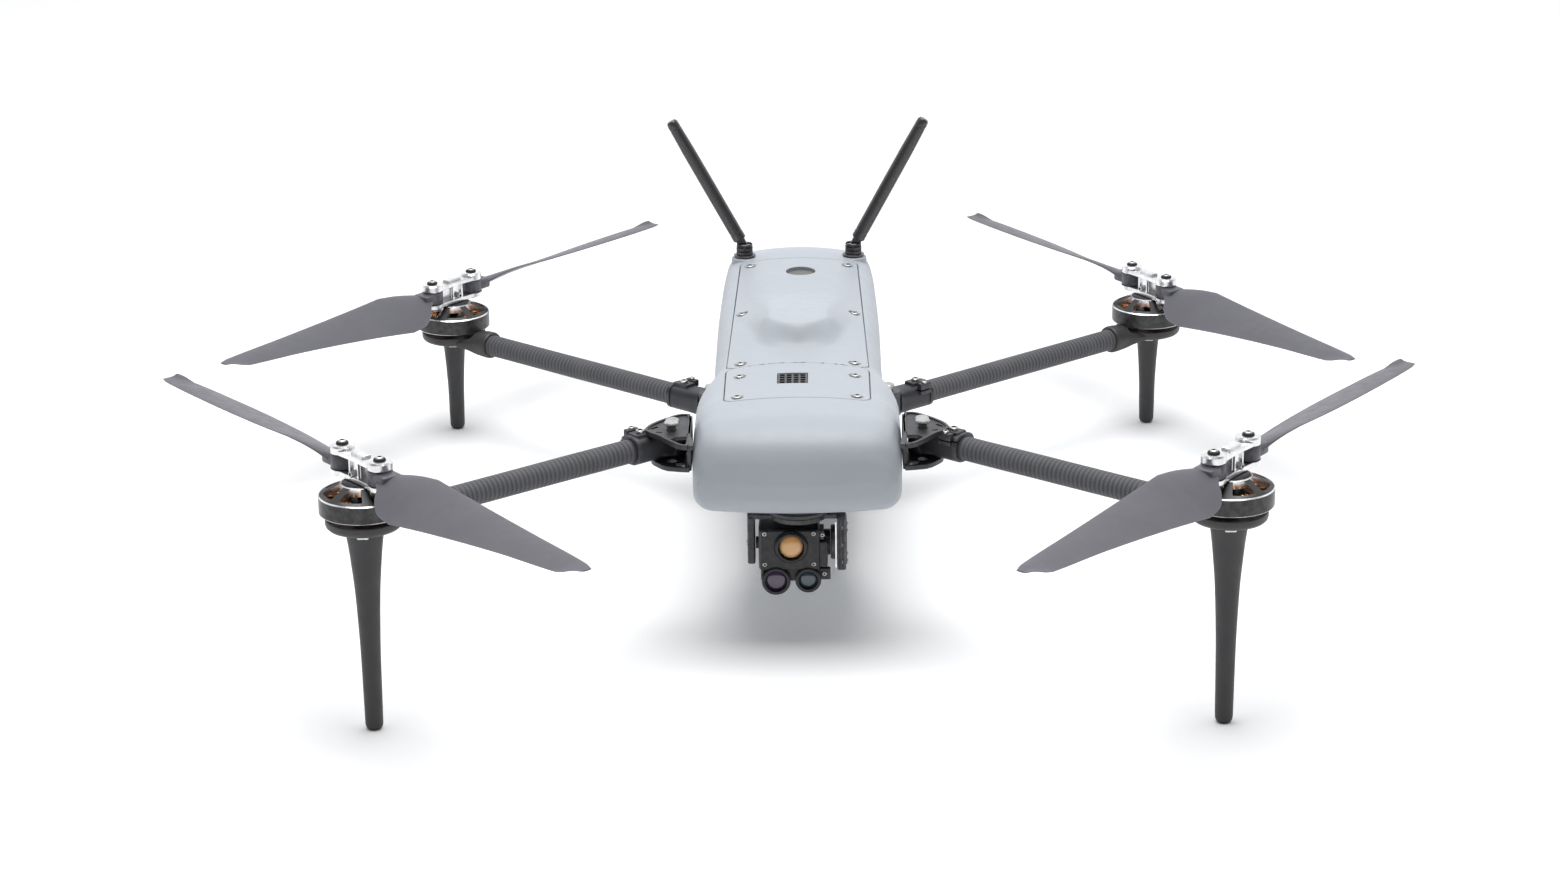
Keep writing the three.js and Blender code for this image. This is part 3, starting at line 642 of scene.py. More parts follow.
PANEL = (-36.5, 156, 36.4, 32.4, 5)
HATCH = (-93.5, -37.1, 36.4, 36.4, 5)
COVER_LEVELS = [(-0.05, -2.2), (-0.05, -0.28), (-0.3, 0.0)]
SEAT_LEVELS = [(SEAM, -2.7), (SEAM, -0.3), (SEAM + 0.3, 0.02), (SEAM + 0.3, 12)]
SCREW_ROWS = [(30, -88.2), (29.4, -53.2), (29.4, -31.6), (30.3, 56.8), (27.2, 147)]
SCREWS = [(side * x, y) for x, y in SCREW_ROWS for side in (-1, 1)]
HATCH_SCREWS = 4
GRILLE = (-2.4, -62.5, 15.6, 17.0)


def counterbores(deep=0.9):
    bore = turned([(0, -deep), (3.1, -deep), (3.1, -0.25), (3.5, 0.05), (3.5, 6), (0, 6)], 28)
    return [at(bore, x, y, hull_height(x, y)) for x, y in SCREWS]


def make_hull():
    body = loft([hull_ring(*row) for row in HULL_STATIONS])
    seats = [plate(plan, SEAT_LEVELS, hull_height, 20, 12) for plan in (PANEL, HATCH)]
    bay = rounded(block(-34, 34, -6, 128, 30, 86), 1.5)
    body = cut(body, *seats, bay, solver="MANIFOLD")
    bosses = []
    for joint in ("antenna_swivel_left", "antenna_swivel_right"):
        seat = joint_place(joint)
        ring = turned([(0, -9), (7.4, -9), (7.35, -1.3), (7.0, -0.7), (6.4, -0.35), (0, -0.35)])
        bosses.append(at(ring, seat.x, seat.y, seat.z))
    hull = merged(body, *bosses)
    piece("hull", hull, [SHELL], "airframe", "hull_shell", sharp=40, weighted=False)

    panel = plate(PANEL, COVER_LEVELS, lambda x, y: hull_height(x, y) + hump_height(x, y), 150, 72)
    button = button_place()
    hole = at(turned([(0, -3), (8.2, -3), (8.2, 9), (0, 9)], 48), *button)
    bores = counterbores()
    panel = cut(panel, *bores[HATCH_SCREWS:], hole, solver="MANIFOLD")
    piece("top_cover", panel, [SHELL], "airframe", "top_panel", sharp=40, weighted=False)

    x, y, wide, long = GRILLE
    window = block(x - wide / 2, x + wide / 2, y - long / 2, y + long / 2, 100, 140)
    hatch = plate(HATCH, COVER_LEVELS, hull_height, 30, 36)
    hatch = cut(hatch, *bores[:HATCH_SCREWS], window, solver="MANIFOLD")
    piece("front_hatch", hatch, [SHELL], "airframe", "access_hatch", sharp=40, weighted=False)

    screw = pan_screw(2.35, 1.55)
    heads = [at(screw, x, y, hull_height(x, y) - 0.75) for x, y in SCREWS]
    piece("cover_screws", merged(*heads), [STEEL, SHADE_AND_WASHER_BLACK], "airframe")


def button_place():
    low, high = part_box("power_button")
    middle = (low + high) / 2 / MM
    return middle.x, middle.y, high.z / MM


def make_button():
    x, y, top = button_place()
    cap = turned(
        [(0, -7.2), (7.5, -7.2), (7.5, -0.55), (7.25, -0.15), (6.6, 0), (5.6, -0.12), (5.2, -0.35), (0, -0.5)])
    piece("power_button_cap", at(cap, x, y, top), [TAUPE], "power_button", "power_button")


def make_grille():
    x, y, wide, long = GRILLE
    wide, long, bar, cells = wide - 0.6, long - 0.6, 1.1, 4
    frame_plate = block(-wide / 2, wide / 2, -long / 2, long / 2, -1.1, 0)
    holes = []
    for i in range(cells):
        for j in range(cells):
            pitch_x, pitch_y = (wide - bar) / cells, (long - bar) / cells
            x0, y0 = -wide / 2 + bar + i * pitch_x, -long / 2 + bar + j * pitch_y
            holes.append(block(x0, x0 + pitch_x - bar, y0, y0 + pitch_y - bar, -3, 3))
    bars = rounded(cut(frame_plate, *holes), 0.15, 2)
    # A near-black sheet under the bars: painted shade where the vent opens into the hull.
    back = block(-wide / 2, wide / 2, -long / 2, long / 2, -2.3, -1.6, 1)
    shell = at(merged(bars, back), x, y, HULL_TOP - 0.35)
    piece("vent", shell, [DARK, SHADE_AND_WASHER_BLACK], "airframe", "vent_grille")


def make_insides():
    low, high = (Vector(corner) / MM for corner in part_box("battery_pack"))
    pack = rounded(block(low.x, high.x, low.y, high.y, low.z, high.z), 1.6, 3)
    grooves = [block(-24, 24, y, y + 2.2, 40, low.z + 0.9) for y in range(8, 92, 8)]
    latches = [rounded(block(s * 36 - 6, s * 36 + 6, 96, 122, 40, 52), 1) for s in (-1, 1)]
    pack = cut(pack, *grooves, *latches)
    tabs = [rounded(block(s * 30 - 0.9, s * 30 + 0.9, 99, 119, low.z + 0.6, 50), 0.5) for s in (-1, 1)]
    shell = merged(pack, *(painted(t, 1) for t in tabs))
    piece("battery", shell, [MOULDED, TAUPE], "airframe", "battery_pack")
    for name, material in (("chassis_plate", DARK), ("control_board", BOARD)):
        node = frame["nodes"][name]
        node.data.materials.clear()
        node.data.materials.append(material)


# ---- arms -----------------------------------------------------------------------------------------------

FRONT_PLATE = [
    (-9.8, 11), (-3.1, 11.7), (5.6, 2.9), (11.3, -5.1), (13.5, -12.5), (10.3, -17.5),
    (5.8, -21.8), (1.2, -29.2), (-4.3, -36.6), (-9.8, -38.5),
]
FRONT_GUSSET = [(-9, -38.2), (-11.5, -38.2), (-11, -30), (-9.7, -22), (-9, -22)]
FRONT_LOWER_PLATE = [
    (-9.8, 10.5), (-3.1, 11.5), (5.3, 3.5), (10.8, -4.5),
    (10.2, -10), (3.5, -19.6), (-3.9, -21.6), (-9.8, -22.5),
]
REAR_PLATE = [(-8.6, -7.8), (2.7, -7.8), (8, -1), (9.5, 8), (6, 17), (-2, 24), (-5.5, 29), (-8.6, 31)]
PLATE_INNER, PLATE_THICK = 7.2, 2.5
ROOT_CELL = PLATE_INNER + PLATE_THICK


class Arm:
    """Where one arm's pieces go."""

    def __init__(self, name):
        self.name = name
        self.rear = name.startswith("rear")
        self.side = 1 if name.endswith("left") else -1
        self.hinge = joint_place("arm_fold_" + name)
        self.axle = joint_place("rotor_spin_" + name)
        self.foot_drop = self.hinge.z
        reach = self.axle - self.hinge
        self.reach = math.hypot(reach.x, reach.y)
        self.root = Matrix.Translation(self.hinge)
        self.swing = self.root @ Matrix.Rotation(math.atan2(reach.y, reach.x), 4, "Z")
        self.motor = self.swing @ Matrix.Translation((self.reach, 0, 0))
        pivot = joint_place("blade_fold_a_" + name) - self.axle
        self.pivot = math.hypot(pivot.x, pivot.y)
        self.rotor = Matrix.Translation(self.axle) @ Matrix.Rotation(math.atan2(pivot.y, pivot.x), 4, "Z")
        self.turns = (1 if self.rear else -1) * self.side


ARMS = [Arm(name) for name in ("front_left", "front_right", "rear_left", "rear_right")]


def inset(outline, amount):
    """An outline moved inwards by an amount, for outlines without tight notches."""
    area = sum(a[0] * b[1] - b[0] * a[1] for a, b in zip(outline, outline[1:] + outline[:1]))
    sign = 1 if area > 0 else -1
    out = []
    for k, (x, y) in enumerate(outline):
        before, after = outline[k - 1], outline[(k + 1) % len(outline)]
        n1 = Vector((y - before[1], before[0] - x)).normalized()
        n2 = Vector((after[1] - y, x - after[0])).normalized()
        normal = n1 + n2
        normal /= max(0.35, normal.dot(n1))
        out.append((x - sign * normal.x * amount, y - sign * normal.y * amount))
    return out


def softened(outline, rounds=2):
    """An outline whose corners are cut, again and again, into curves."""
    for _ in range(rounds):
        new = []
        for k, (x, y) in enumerate(outline):
            ax, ay = outline[k - 1]
            bx, by = outline[(k + 1) % len(outline)]
            new += [(x + (ax - x) * 0.2, y + (ay - y) * 0.2), (x + (bx - x) * 0.2, y + (by - y) * 0.2)]
        outline = new
    return outline


def rimmed_plate(outline, z0, z1, rim, holes=()):
    """A plate with a raised rim along its edge, on the z1 side."""
    soft = softened(outline, 1)
    up = 1 if z1 > z0 else -1
    solid = prism(soft, min(z0, z1 + up * rim), max(z0, z1 + up * rim))
    floor = prism(inset(soft, 1.5), min(z1, z1 + up * 9), max(z1, z1 + up * 9))
    return rounded(cut(solid, floor, *holes), 0.3, 2, 40)


def bracket_shell(arm):
    """The hinge bracket in its own frame, for the left side."""
    if arm.rear:
        upper_plan, lower_plan, web, root = REAR_PLATE, REAR_PLATE, (10.5, 30.5), -8.6
        holes = []
        post_place = (-2, 20)
    else:
        upper_plan, lower_plan, web, root = FRONT_PLATE, FRONT_LOWER_PLATE, (-20, 8), -9.8
        holes = [
            prism([(-7.9, -34.6), (-4.6, -34.2), (0.4, -26.4), (-2.4, -22.6), (-7.9, -22.2)], -30, 30),
            prism([(6.4, -7.4), (9.6, -10.8), (10.2, -9.4), (7.4, -6)], 3, 30),
            prism([(4.6, -16.2), (7.6, -15.4), (7.2, -14.2), (4.4, -15)], 3, 30),
        ]
        post_place = (1.2, -16.8)
    z1 = ROOT_CELL
    upper = rimmed_plate(upper_plan, PLATE_INNER, z1 - 0.7, 0.7, holes)
    notch = prism([(-6.4, -19.4), (-2.8, -18.8), (-1.2, -14.6), (-6.4, -14.4)], -30, -3)
    lower_holes = [] if arm.rear else [notch]
    lower = rimmed_plate(lower_plan, -PLATE_INNER, -z1 + 0.7, 0.7, lower_holes)
    wall = rounded(block(root, root + 2, web[0], web[1], -z1, z1), 0.4)
    spacer = turned([(0, -8), (2, -8), (2, -6.6), (1.5, -6.2), (1.5, 6.2), (2, 6.6), (2, 8), (0, 8)], 24)
    shells = [upper, lower, wall, at(spacer, *post_place)]
    if not arm.rear:
        shells.append(rounded(prism(FRONT_GUSSET, PLATE_INNER + 0.1, z1 - 0.1), 0.3))
        shells.append(rounded(block(-8.2, -6.6, -21.6, -19.8, -z1 + 1, z1 - 1), 0.4))
        shells.append(rounded(block(-8.4, -7.2, -17.5, -9, -4.5, 4.5), 0.4))
    pin = turned([(0, -z1 - 1.4), (3.6, -z1 - 1.4), (4, -z1 - 1), (4, -z1), (2.4, -z1), (2.4, z1), (3.4, z1),
                  (3.4, z1 + 0.6), (2.9, z1 + 1.1), (0, z1 + 1.1)], 32)
    screws = [at(cap_screw(1.7, 1.5, 1, 2), post_place[0], post_place[1], z1 - 0.7)]
    if not arm.rear:
        screws.append(at(cap_screw(1.3, 1.2, 1, 2), -4.6, 6.2, z1 - 0.7))
    under = placed(merged(*screws[:1]), UPSIDE_DOWN)
    under = at(under, 0, 2 * post_place[1], 0)
    return merged(*shells, painted(pin, 1), *screws, under)


def make_bracket(arm):
    shell = bracket_shell(arm)
    hole = turned([(0, -20), (2.6, -20), (2.6, 20), (0, 20)], 24)
    forward = 11.5 if arm.rear else -11.5
    back = -3 if arm.rear else 0
    side = Matrix.Scale(arm.side, 4, (1, 0, 0))
    shell = cut(shell, at(hole, back, forward), solver="EXACT")
    piece("bracket_" + arm.name, shell, [DARK, STEEL, SHADE_AND_WASHER_BLACK], "airframe",
          "hinge_bracket_" + arm.name, arm.root @ side, sharp=38)

    knob = [(2.2, 1.8), (2.9, 1.8), (3.7, 2.6), (3.7, 3.0), (3.3, 3.5), (1.2, 3.8)]
    knob = [(radius, ROOT_CELL + height, 1) for radius, height in knob]
    plunger = turned([(0, 7.5), (2.2, 7.5), *knob, (0, ROOT_CELL + 3.8)], 32)
    grooves = []
    for k in range(14):
        a = TAU * k / 14
        notch = block(-0.28, 0.28, -0.28, 0.28, ROOT_CELL + 1, ROOT_CELL + 5)
        grooves.append(painted(at(notch, 3.72 * math.cos(a), 3.72 * math.sin(a)), 1))
    plunger = cut(plunger, *grooves)
    turn = UPSIDE_DOWN if arm.rear else Matrix.Identity(4)
    spot = Matrix.Translation((arm.side * back, forward, 0))
    piece("plunger_" + arm.name, plunger, [TAUPE, STEEL], "plunger_" + arm.name,
          "lock_plunger_" + arm.name, arm.root @ spot @ turn)


def x_rings(rows, count=48):
    """Rings round the X axis from rows of x, half width, low, high and squareness (2 is an ellipse)."""
    rings = []
    for x, half, low, high, square in rows:
        ring = []
        for k in range(count):
            a = math.pi - TAU * (k + 0.5) / count
            c, s = math.cos(a), math.sin(a)
            cy = math.copysign(abs(c) ** (2 / square), c)
            sz = math.copysign(abs(s) ** (2 / square), s)
            ring.append((x, half * cy, (low + high) / 2 + (high - low) / 2 * sz))
        rings.append(ring)
    return rings


def knuckle_shell():
    barrel = turned([(0, -6.9), (6.5, -6.9), (7, -6.4), (7, 6.4), (6.5, 6.9), (0, 6.9)])
    rows = [(4, 6.8, -6.9, 6.9, 3.4), (8, 7.2, -6.9, 6.9, 3.2), (13, 7.35, -6.9, 6.9, 2.8),
            (24.4, 7.4, -6.9, 6.9, 2.8), (24.5, 8.0, -6.9, 7.6, 2.6), (26.6, 8.0, -6.9, 7.6, 2.6),
            (27, 7.6, -6.7, 7.2, 2.5)]
    sleeve = loft(x_rings(rows))
    ears = rounded(block(16.5, 24, -8.6, -5, 2.2, 8.6), 0.7, 3)
    top_pad = rounded(block(15, 25, -3.6, 3.6, 5.4, 8.3), 0.6, 3)
    split = block(15, 30, -9.5, -4, 4.3, 5.1)
    bore = placed(turned([(0, 12), (6.15, 12), (6.15, 60), (0, 60)], 48), TO_LEFT)
    eye = turned([(0, -20), (2.7, -20), (2.7, 20), (0, 20)], 24)
    solid = cut(sleeve, eye, bore, split)
    solid = merged(solid, cut(barrel, eye), cut(ears, split, bore), cut(top_pad, bore))
    clamp = at(cap_screw(2.2, 1.4, 1, 2), 20, 0, 8.3)
    pinch = at(cap_screw(1.5, 1.0, 1, 2), 20.2, -6.8, 8.6)
    return merged(solid, clamp, pinch)


def tube_object(arm, radius=6.0, segments=48, step=4.0):
    """The carbon tube, with its UV map in millimetres round and along it."""
    start, stop = 12.3, arm.reach - 19.5
    count = int((stop - start) / step)
    rings = [(start, radius - 0.9), (start, radius - 0.15), (start + 0.2, radius)]
    rings += [(start + (stop - start) * k / count, radius) for k in range(1, count)]
    rings += [(stop - 0.2, radius), (stop, radius - 0.15), (stop, radius - 0.9)]
    points, faces = [], []
    for x, r in rings:
        for k in range(segments):
            a = TAU * k / segments
            points.append((x, r * math.cos(a), r * math.sin(a)))
    for i in range(len(rings)):
        j = (i + 1) % len(rings)
        for k in range(segments):
            m = (k + 1) % segments
            faces.append((i * segments + k, i * segments + m, j * segments + m, j * segments + k))
    obj = piece("tube_" + arm.name, (points, faces, [0] * len(faces)), [CARBON], "arm_" + arm.name,
                "arm_tube_" + arm.name, arm.swing, weighted=False)
    layer = obj.data.uv_layers.new(name="round_and_along")
    back = arm.swing.inverted()
    for polygon in obj.data.polygons:
        corners = []
        for index in polygon.loop_indices:
            p = back @ (obj.data.vertices[obj.data.loops[index].vertex_index].co / MM)
            corners.append((index, p.x, math.atan2(p.z, p.y)))
        wrap = max(c[2] for c in corners) - min(c[2] for c in corners) > math.pi
        for index, x, a in corners:
            layer.data[index].uv = ((a + TAU if wrap and a < 0 else a) * radius, x)


def make_arm(arm):
    body = "arm_" + arm.name
    piece("knuckle_" + arm.name, knuckle_shell(), [DARK, STEEL, SHADE_AND_WASHER_BLACK], body,
          "arm_knuckle_" + arm.name, arm.swing)
    tube_object(arm)

    disc = turned(
        [(0, -2.3), (13.6, -2.3), (15.6, -2.1), (17.0, -1.5), (17.9, -0.6),
         (18.3, 0.6), (18.3, 2.6), (18.1, 2.95), (17.7, 3.2), (0, 3.2)], 96)
    neck = loft(x_rings(smoothed(
        [(-32, 7.3, -7.3, 7.3, 2), (-30.6, 7.7, -7.7, 7.7, 2), (-24, 8.2, -7.2, 7.0, 2.1),
         (-19, 9.8, -5.0, 4.6, 2.4), (-14, 12.0, -2.9, 3.1, 3), (-8, 13.5, -2.3, 3.1, 3.4)], 5)))
    room = turned([(0, 3.2), (22.3, 3.2), (22.3, 20), (0, 20)], 64)
    bore = placed(turned([(0, -60), (6.15, -60), (6.15, -19.2), (0, -19.2)], 48), TO_LEFT)
    neck = cut(neck, bore, room)
    bolt, reach = cap_screw(1.5, 1.0, 1, 2), 9.5 / math.sqrt(2)
    places = [(x * reach, y * reach) for x, y in ((1, 1), (-1, 1), (-1, -1), (1, -1))] if arm.rear else []
    bolts = [at(bolt, x, y, -2.3) for x, y in places]
    piece("mount_" + arm.name, merged(disc, neck, *bolts), [MOUNT_DARK, STEEL, SHADE_AND_WASHER_BLACK], body,
          "motor_mount_" + arm.name, arm.motor)
    make_leg(arm)
    make_stator(arm)


def make_leg(arm):
    top = -2.6
    if arm.rear:
        girth = [(-2.6, 6.7), (-9, 6.0), (-20, 5.2), (-34, 4.55), (-46, 4.35), (-53.4, 4.2)]
    else:
        girth = [(-2.6, 9.3), (-13, 7.9), (-22, 7.0), (-34, 6.0), (-50, 5.25), (-66, 4.75), (-84, 4.5),
                 (-100.5, 4.3)]
    ground = -arm.foot_drop
    tip = girth[-1][1]
    profile = [(0, top)] + [(r, z) for z, r in smoothed(girth, 5)]
    profile += [(tip * 0.985, ground + 2.3), (tip * 0.92, ground + 1.3), (tip * 0.78, ground + 0.45),
                (tip * 0.62, ground), (0, ground)]
    leg = turned(profile, 64)
    front = arm.motor.inverted().to_3x3() @ Vector((0, -1, 0))
    facing = Matrix.Rotation(math.atan2(front.y, front.x) + math.pi / 2, 4, "Z")
    girth_there = girth[0][1] - 0.25
    window = rounded(block(-2.9, 2.9, -0.35, 1.2, -2.4, 0), 0.6, 3)
    leg = cut(leg, placed(at(window, 0, -girth_there, top - 0.4), facing))
    lamp = at(rounded(block(-2.7, 2.7, -0.2, 1.1, -2.25, -0.1), 0.5, 3), 0, -girth_there, top - 0.45)
    lamp = placed(painted(lamp, 1), facing)
    piece("leg_" + arm.name, merged(leg, lamp), [MOULDED, LIGHT], "arm_" + arm.name,
          "landing_leg_" + arm.name, arm.motor, sharp=50, weighted=False)


def ring_loop(path, radius, sides=6):
    """A closed wire through a loop of points."""
    points, faces = [], []
    count = len(path)
    for k, p in enumerate(path):
        ahead = (path[(k + 1) % count] - path[k - 1]).normalized()
        side = ahead.cross(Vector((1, 0, 0))).normalized()
        other = ahead.cross(side)
        for m in range(sides):
            a = TAU * m / sides
            points.append(p + radius * (math.cos(a) * side + math.sin(a) * other))
    for k in range(count):
        j = (k + 1) % count
        for m in range(sides):
            n = (m + 1) % sides
            faces.append((k * sides + m, k * sides + n, j * sides + n, j * sides + m))
    return points, faces, [0] * len(faces)


def stator_shell(teeth=12, turns=7, wire=0.52):
    core = turned([(3.1, -2.4), (8.4, -2.4), (8.6, 1.6), (8.6, 6.8), (3.1, 6.8), (3.1, -2.4)], 48)
    shells = [painted(core, 1)]
    for tooth in range(teeth):
        turn = Matrix.Rotation(TAU * (tooth + 0.5) / teeth, 4, "Z")
        iron = rounded(block(8, 17.4, -1.3, 1.3, 2.2, 6.0, 1), 0.2)
        shoe = rounded(block(16.9, 17.6, -3.6, 3.6, 2.0, 6.4, 1), 0.3)
        shells += [placed(iron, turn), placed(shoe, turn)]
        for k in range(turns):
            x = 9.9 + k * 1.06
            half = 1.45 + 0.105 * (x - 8)
            tall = 2.55 - 0.03 * (x - 9)
            path = []
            for step in range(16):
                a = TAU * step / 16
                cy = math.copysign(abs(math.cos(a)) ** 0.5, math.cos(a))
                sz = math.copysign(abs(math.sin(a)) ** 0.5, math.sin(a))
                path.append(Vector((x + 0.12 * math.sin(a), half * cy, 4.25 + tall * sz)))
            shells.append(placed(ring_loop(path, wire), turn))
    return merged(*shells)


def bell_shell(windows=7):
    """The motor bell: a dark can with bright edges and an open roof of spokes."""
    bright = 1
    profile = [
        (0, -1.6), (2.5, -1.6), (2.5, 11.4), (8, 11.4), (18.7, 7.0), (18.7, 0.25), (18.95, 0),
        (20.5, 0, bright), (20.9, 0.4), (20.9, 8.35, bright), (20.35, 8.95), (10.4, 13.9, bright),
        (9.6, 14.4), (4, 14.5), (0, 14.5),
    ]
    can = turned(profile, 126)
    step = 360 / windows
    holes = []
    for k in range(windows):
        outline = []
        for radius, ends in ((10.6, (10.5, step - 10.5)), (18.4, (step - 7.0, 7.0))):
            for share in range(7):
                a = math.radians(k * step + ends[0] + (ends[1] - ends[0]) * share / 6)
                outline.append((radius * math.cos(a), radius * math.sin(a)))
        holes.append(prism(softened(outline, 1), 3, 20, bright))
    return cut(can, *holes)


def make_stator(arm):
    piece("windings_" + arm.name, STATOR, [COPPER, BELL_BLACK], "arm_" + arm.name,
          "motor_stator_" + arm.name, arm.motor @ Matrix.Translation((0, 0, 6)), weighted=False)


def dog_bone(z0, z1, pivot, end, neck, chamfer):
    """A plate with two round ends and a slimmer middle."""
    outline = []
    for side in (1, -1):
        for k in range(25):
            a = math.radians(-125 + 250 * k / 24) + (0 if side > 0 else math.pi)
            outline.append((side * pivot + end * math.cos(a), end * math.sin(a)))
        outline.append((side * 5.0, side * neck))
        outline.append((side * -5.0, side * neck))
    return rounded(prism(outline, z0, z1), chamfer, 2, 40)


def hub_shell(pivot):
    """Machined hub: two plates, a post, pivot bosses with screws on dark washers."""
    # dark is the near-black material: painted shade inside the screw sockets, and the washers' own colour.
    steel, dark = 1, 2
    lower = dog_bone(14.8, 17.3, pivot, 6.2, 4.6, 0.35)
    upper = dog_bone(24.8, 27.2, pivot, 6.0, 4.4, 0.4)
    post = rounded(block(-4.6, 4.6, -3.4, 3.4, 15, 27), 0.5, 2)
    waist = [rounded(block(s * 3.4 - 0.7, s * 3.4 + 0.7, -4.6, 4.6, 17, 25.2), 0.3, 2) for s in (-1, 1)]
    ridge = rounded(block(-5.4, 5.4, -2.4, 2.4, 26.8, 28.6), 0.6, 3)
    shells = [lower, upper, post, ridge, *waist]
    for y, turn in ((-4.9, TO_FRONT), (4.9, TO_FRONT.inverted())):
        side_screw = cap_screw(1.7, 1.6, steel, dark)
        shells.append(placed(side_screw, Matrix.Translation((0, y, 19.2)) @ turn))
    for s in (-1, 1):
        boss = turned([(0, 26.6), (6.0, 26.6), (6.0, 28.0), (5.3, 28.8), (3.2, 29.0), (0, 29.0)], 48)
        washer = turned([(0, 28.8), (2.9, 28.8), (3.0, 29.4), (2.7, 29.9), (0, 29.9)], 32)
        pin = painted(turned([(0, 17), (1.95, 17), (1.95, 25), (0, 25)], 24), steel)
        nut = painted(turned([(0, 13.4), (2.6, 13.4), (3.0, 13.8), (3.0, 15), (0, 15)], 6), steel)
        screw = at(pan_screw(2.0, 1.2, steel, dark), 0, 0, 29.6)
        shells.append(at(merged(boss, painted(washer, dark), pin, nut, screw), s * pivot))
    return merged(*shells)


# reach, leading edge, trailing edge, thickness, twist
BLADE_ROOT = [[21, 5.8, -5.8, 6.6, 4], [25.5, 6.4, -8.6, 5.6, 14], [31, 7.8, -14.2, 4.6, 22],
              [40, 9.6, -19.4, 3.9, 27],
              [50, 11, -20.6, 3.2, 28]]
BLADE_SPAN = [[50, 11, -20.6, 3.2, 28], [80, 9.6, -17.4, 2.6, 21], [130, 7.2, -11.9, 1.8, 13],
              [171, 4.9, -7.6, 1.3, 8.5], [177.9, 3.2, -4.4, 1.1, 8]]


def blade_section(row, turns, points=14):
    """A cambered section; the last few millimetres rise at the trailing edge into a small winglet."""
    reach, lead, trail, thick, twist = row
    angle = math.radians(twist)
    tip = min(1, max(0, (reach - 168) / 8))
    chain = []
    for sign in (1, -1):
        side = []
        for k in range(points + 1):
            share = (1 - math.cos(math.pi * k / points)) / 2
            swell = 2.6 * (math.sqrt(share) * 0.8 - share * 0.5 - 0.3 * share**2) * (1 if share < 1 else 0)
            camber = 0.05 * (lead - trail) * (share - share * share) * 2
            across = lead + (trail - lead) * share
            height = sign * max(0.16, thick * 0.46 * swell) + camber + 2.2 * tip * share**3
            x = across * math.cos(angle) - height * math.sin(angle)
            z = across * math.sin(angle) + height * math.cos(angle)
            side.append((reach, turns * x, z))
        chain.append(side)
    return chain[0] + list(reversed(chain[1]))


def blade_shell(turns, pivot):
    rows = smoothed(BLADE_ROOT, 5) + smoothed(BLADE_SPAN, 9)[1:]
    wing = loft([blade_section(row, turns) for row in rows])
    neck = rounded(block(pivot + 1.5, 26.5, -5.5, 5.5, -2.9, 2.9), 1.2, 3)
    eye = turned([(0, -3.45), (5.6, -3.45), (5.95, -3.1), (5.95, 3.1), (5.6, 3.45), (0, 3.45)], 48)
    bore = turned([(0, -9), (2.15, -9), (2.15, 9), (0, 9)], 24)
    above = turned([(0, 3.46), (7.4, 3.46), (7.4, 20), (0, 20)], 48)
    below = turned([(0, -20), (7.4, -20), (7.4, -3.46), (0, -3.46)], 48)
    wing = cut(wing, at(above, pivot), at(below, pivot))
    root = cut(merged(at(eye, pivot)), at(bore, pivot))
    return merged(wing, root, cut(neck, at(bore, pivot)))


def make_rotor(arm):
    body = "rotor_" + arm.name
    piece("bell_" + arm.name, BELL, [BELL_BLACK, ALUMINIUM], body,
          "motor_bell_" + arm.name, arm.rotor)
    piece("hub_" + arm.name, HUB, [ALUMINIUM, STEEL, SHADE_AND_WASHER_BLACK], body,
          "prop_hub_" + arm.name, arm.rotor)
    for letter, turn in (("a", 0), ("b", math.pi)):
        place = arm.rotor @ Matrix.Rotation(turn, 4, "Z") @ Matrix.Translation((0, 0, 21.05))
        blade = f"blade_{letter}_{arm.name}"
        piece(blade, BLADES[arm.turns], [BLADE], blade, "prop_" + blade, place,
              sharp=60, weighted=False)


STATOR = stator_shell()
BELL = bell_shell()
HUB = hub_shell(ARMS[0].pivot)
BLADES = {turns: blade_shell(turns, ARMS[0].pivot) for turns in (1, -1)}

# ---- aerials --------------------------------------------------------------------------------------------


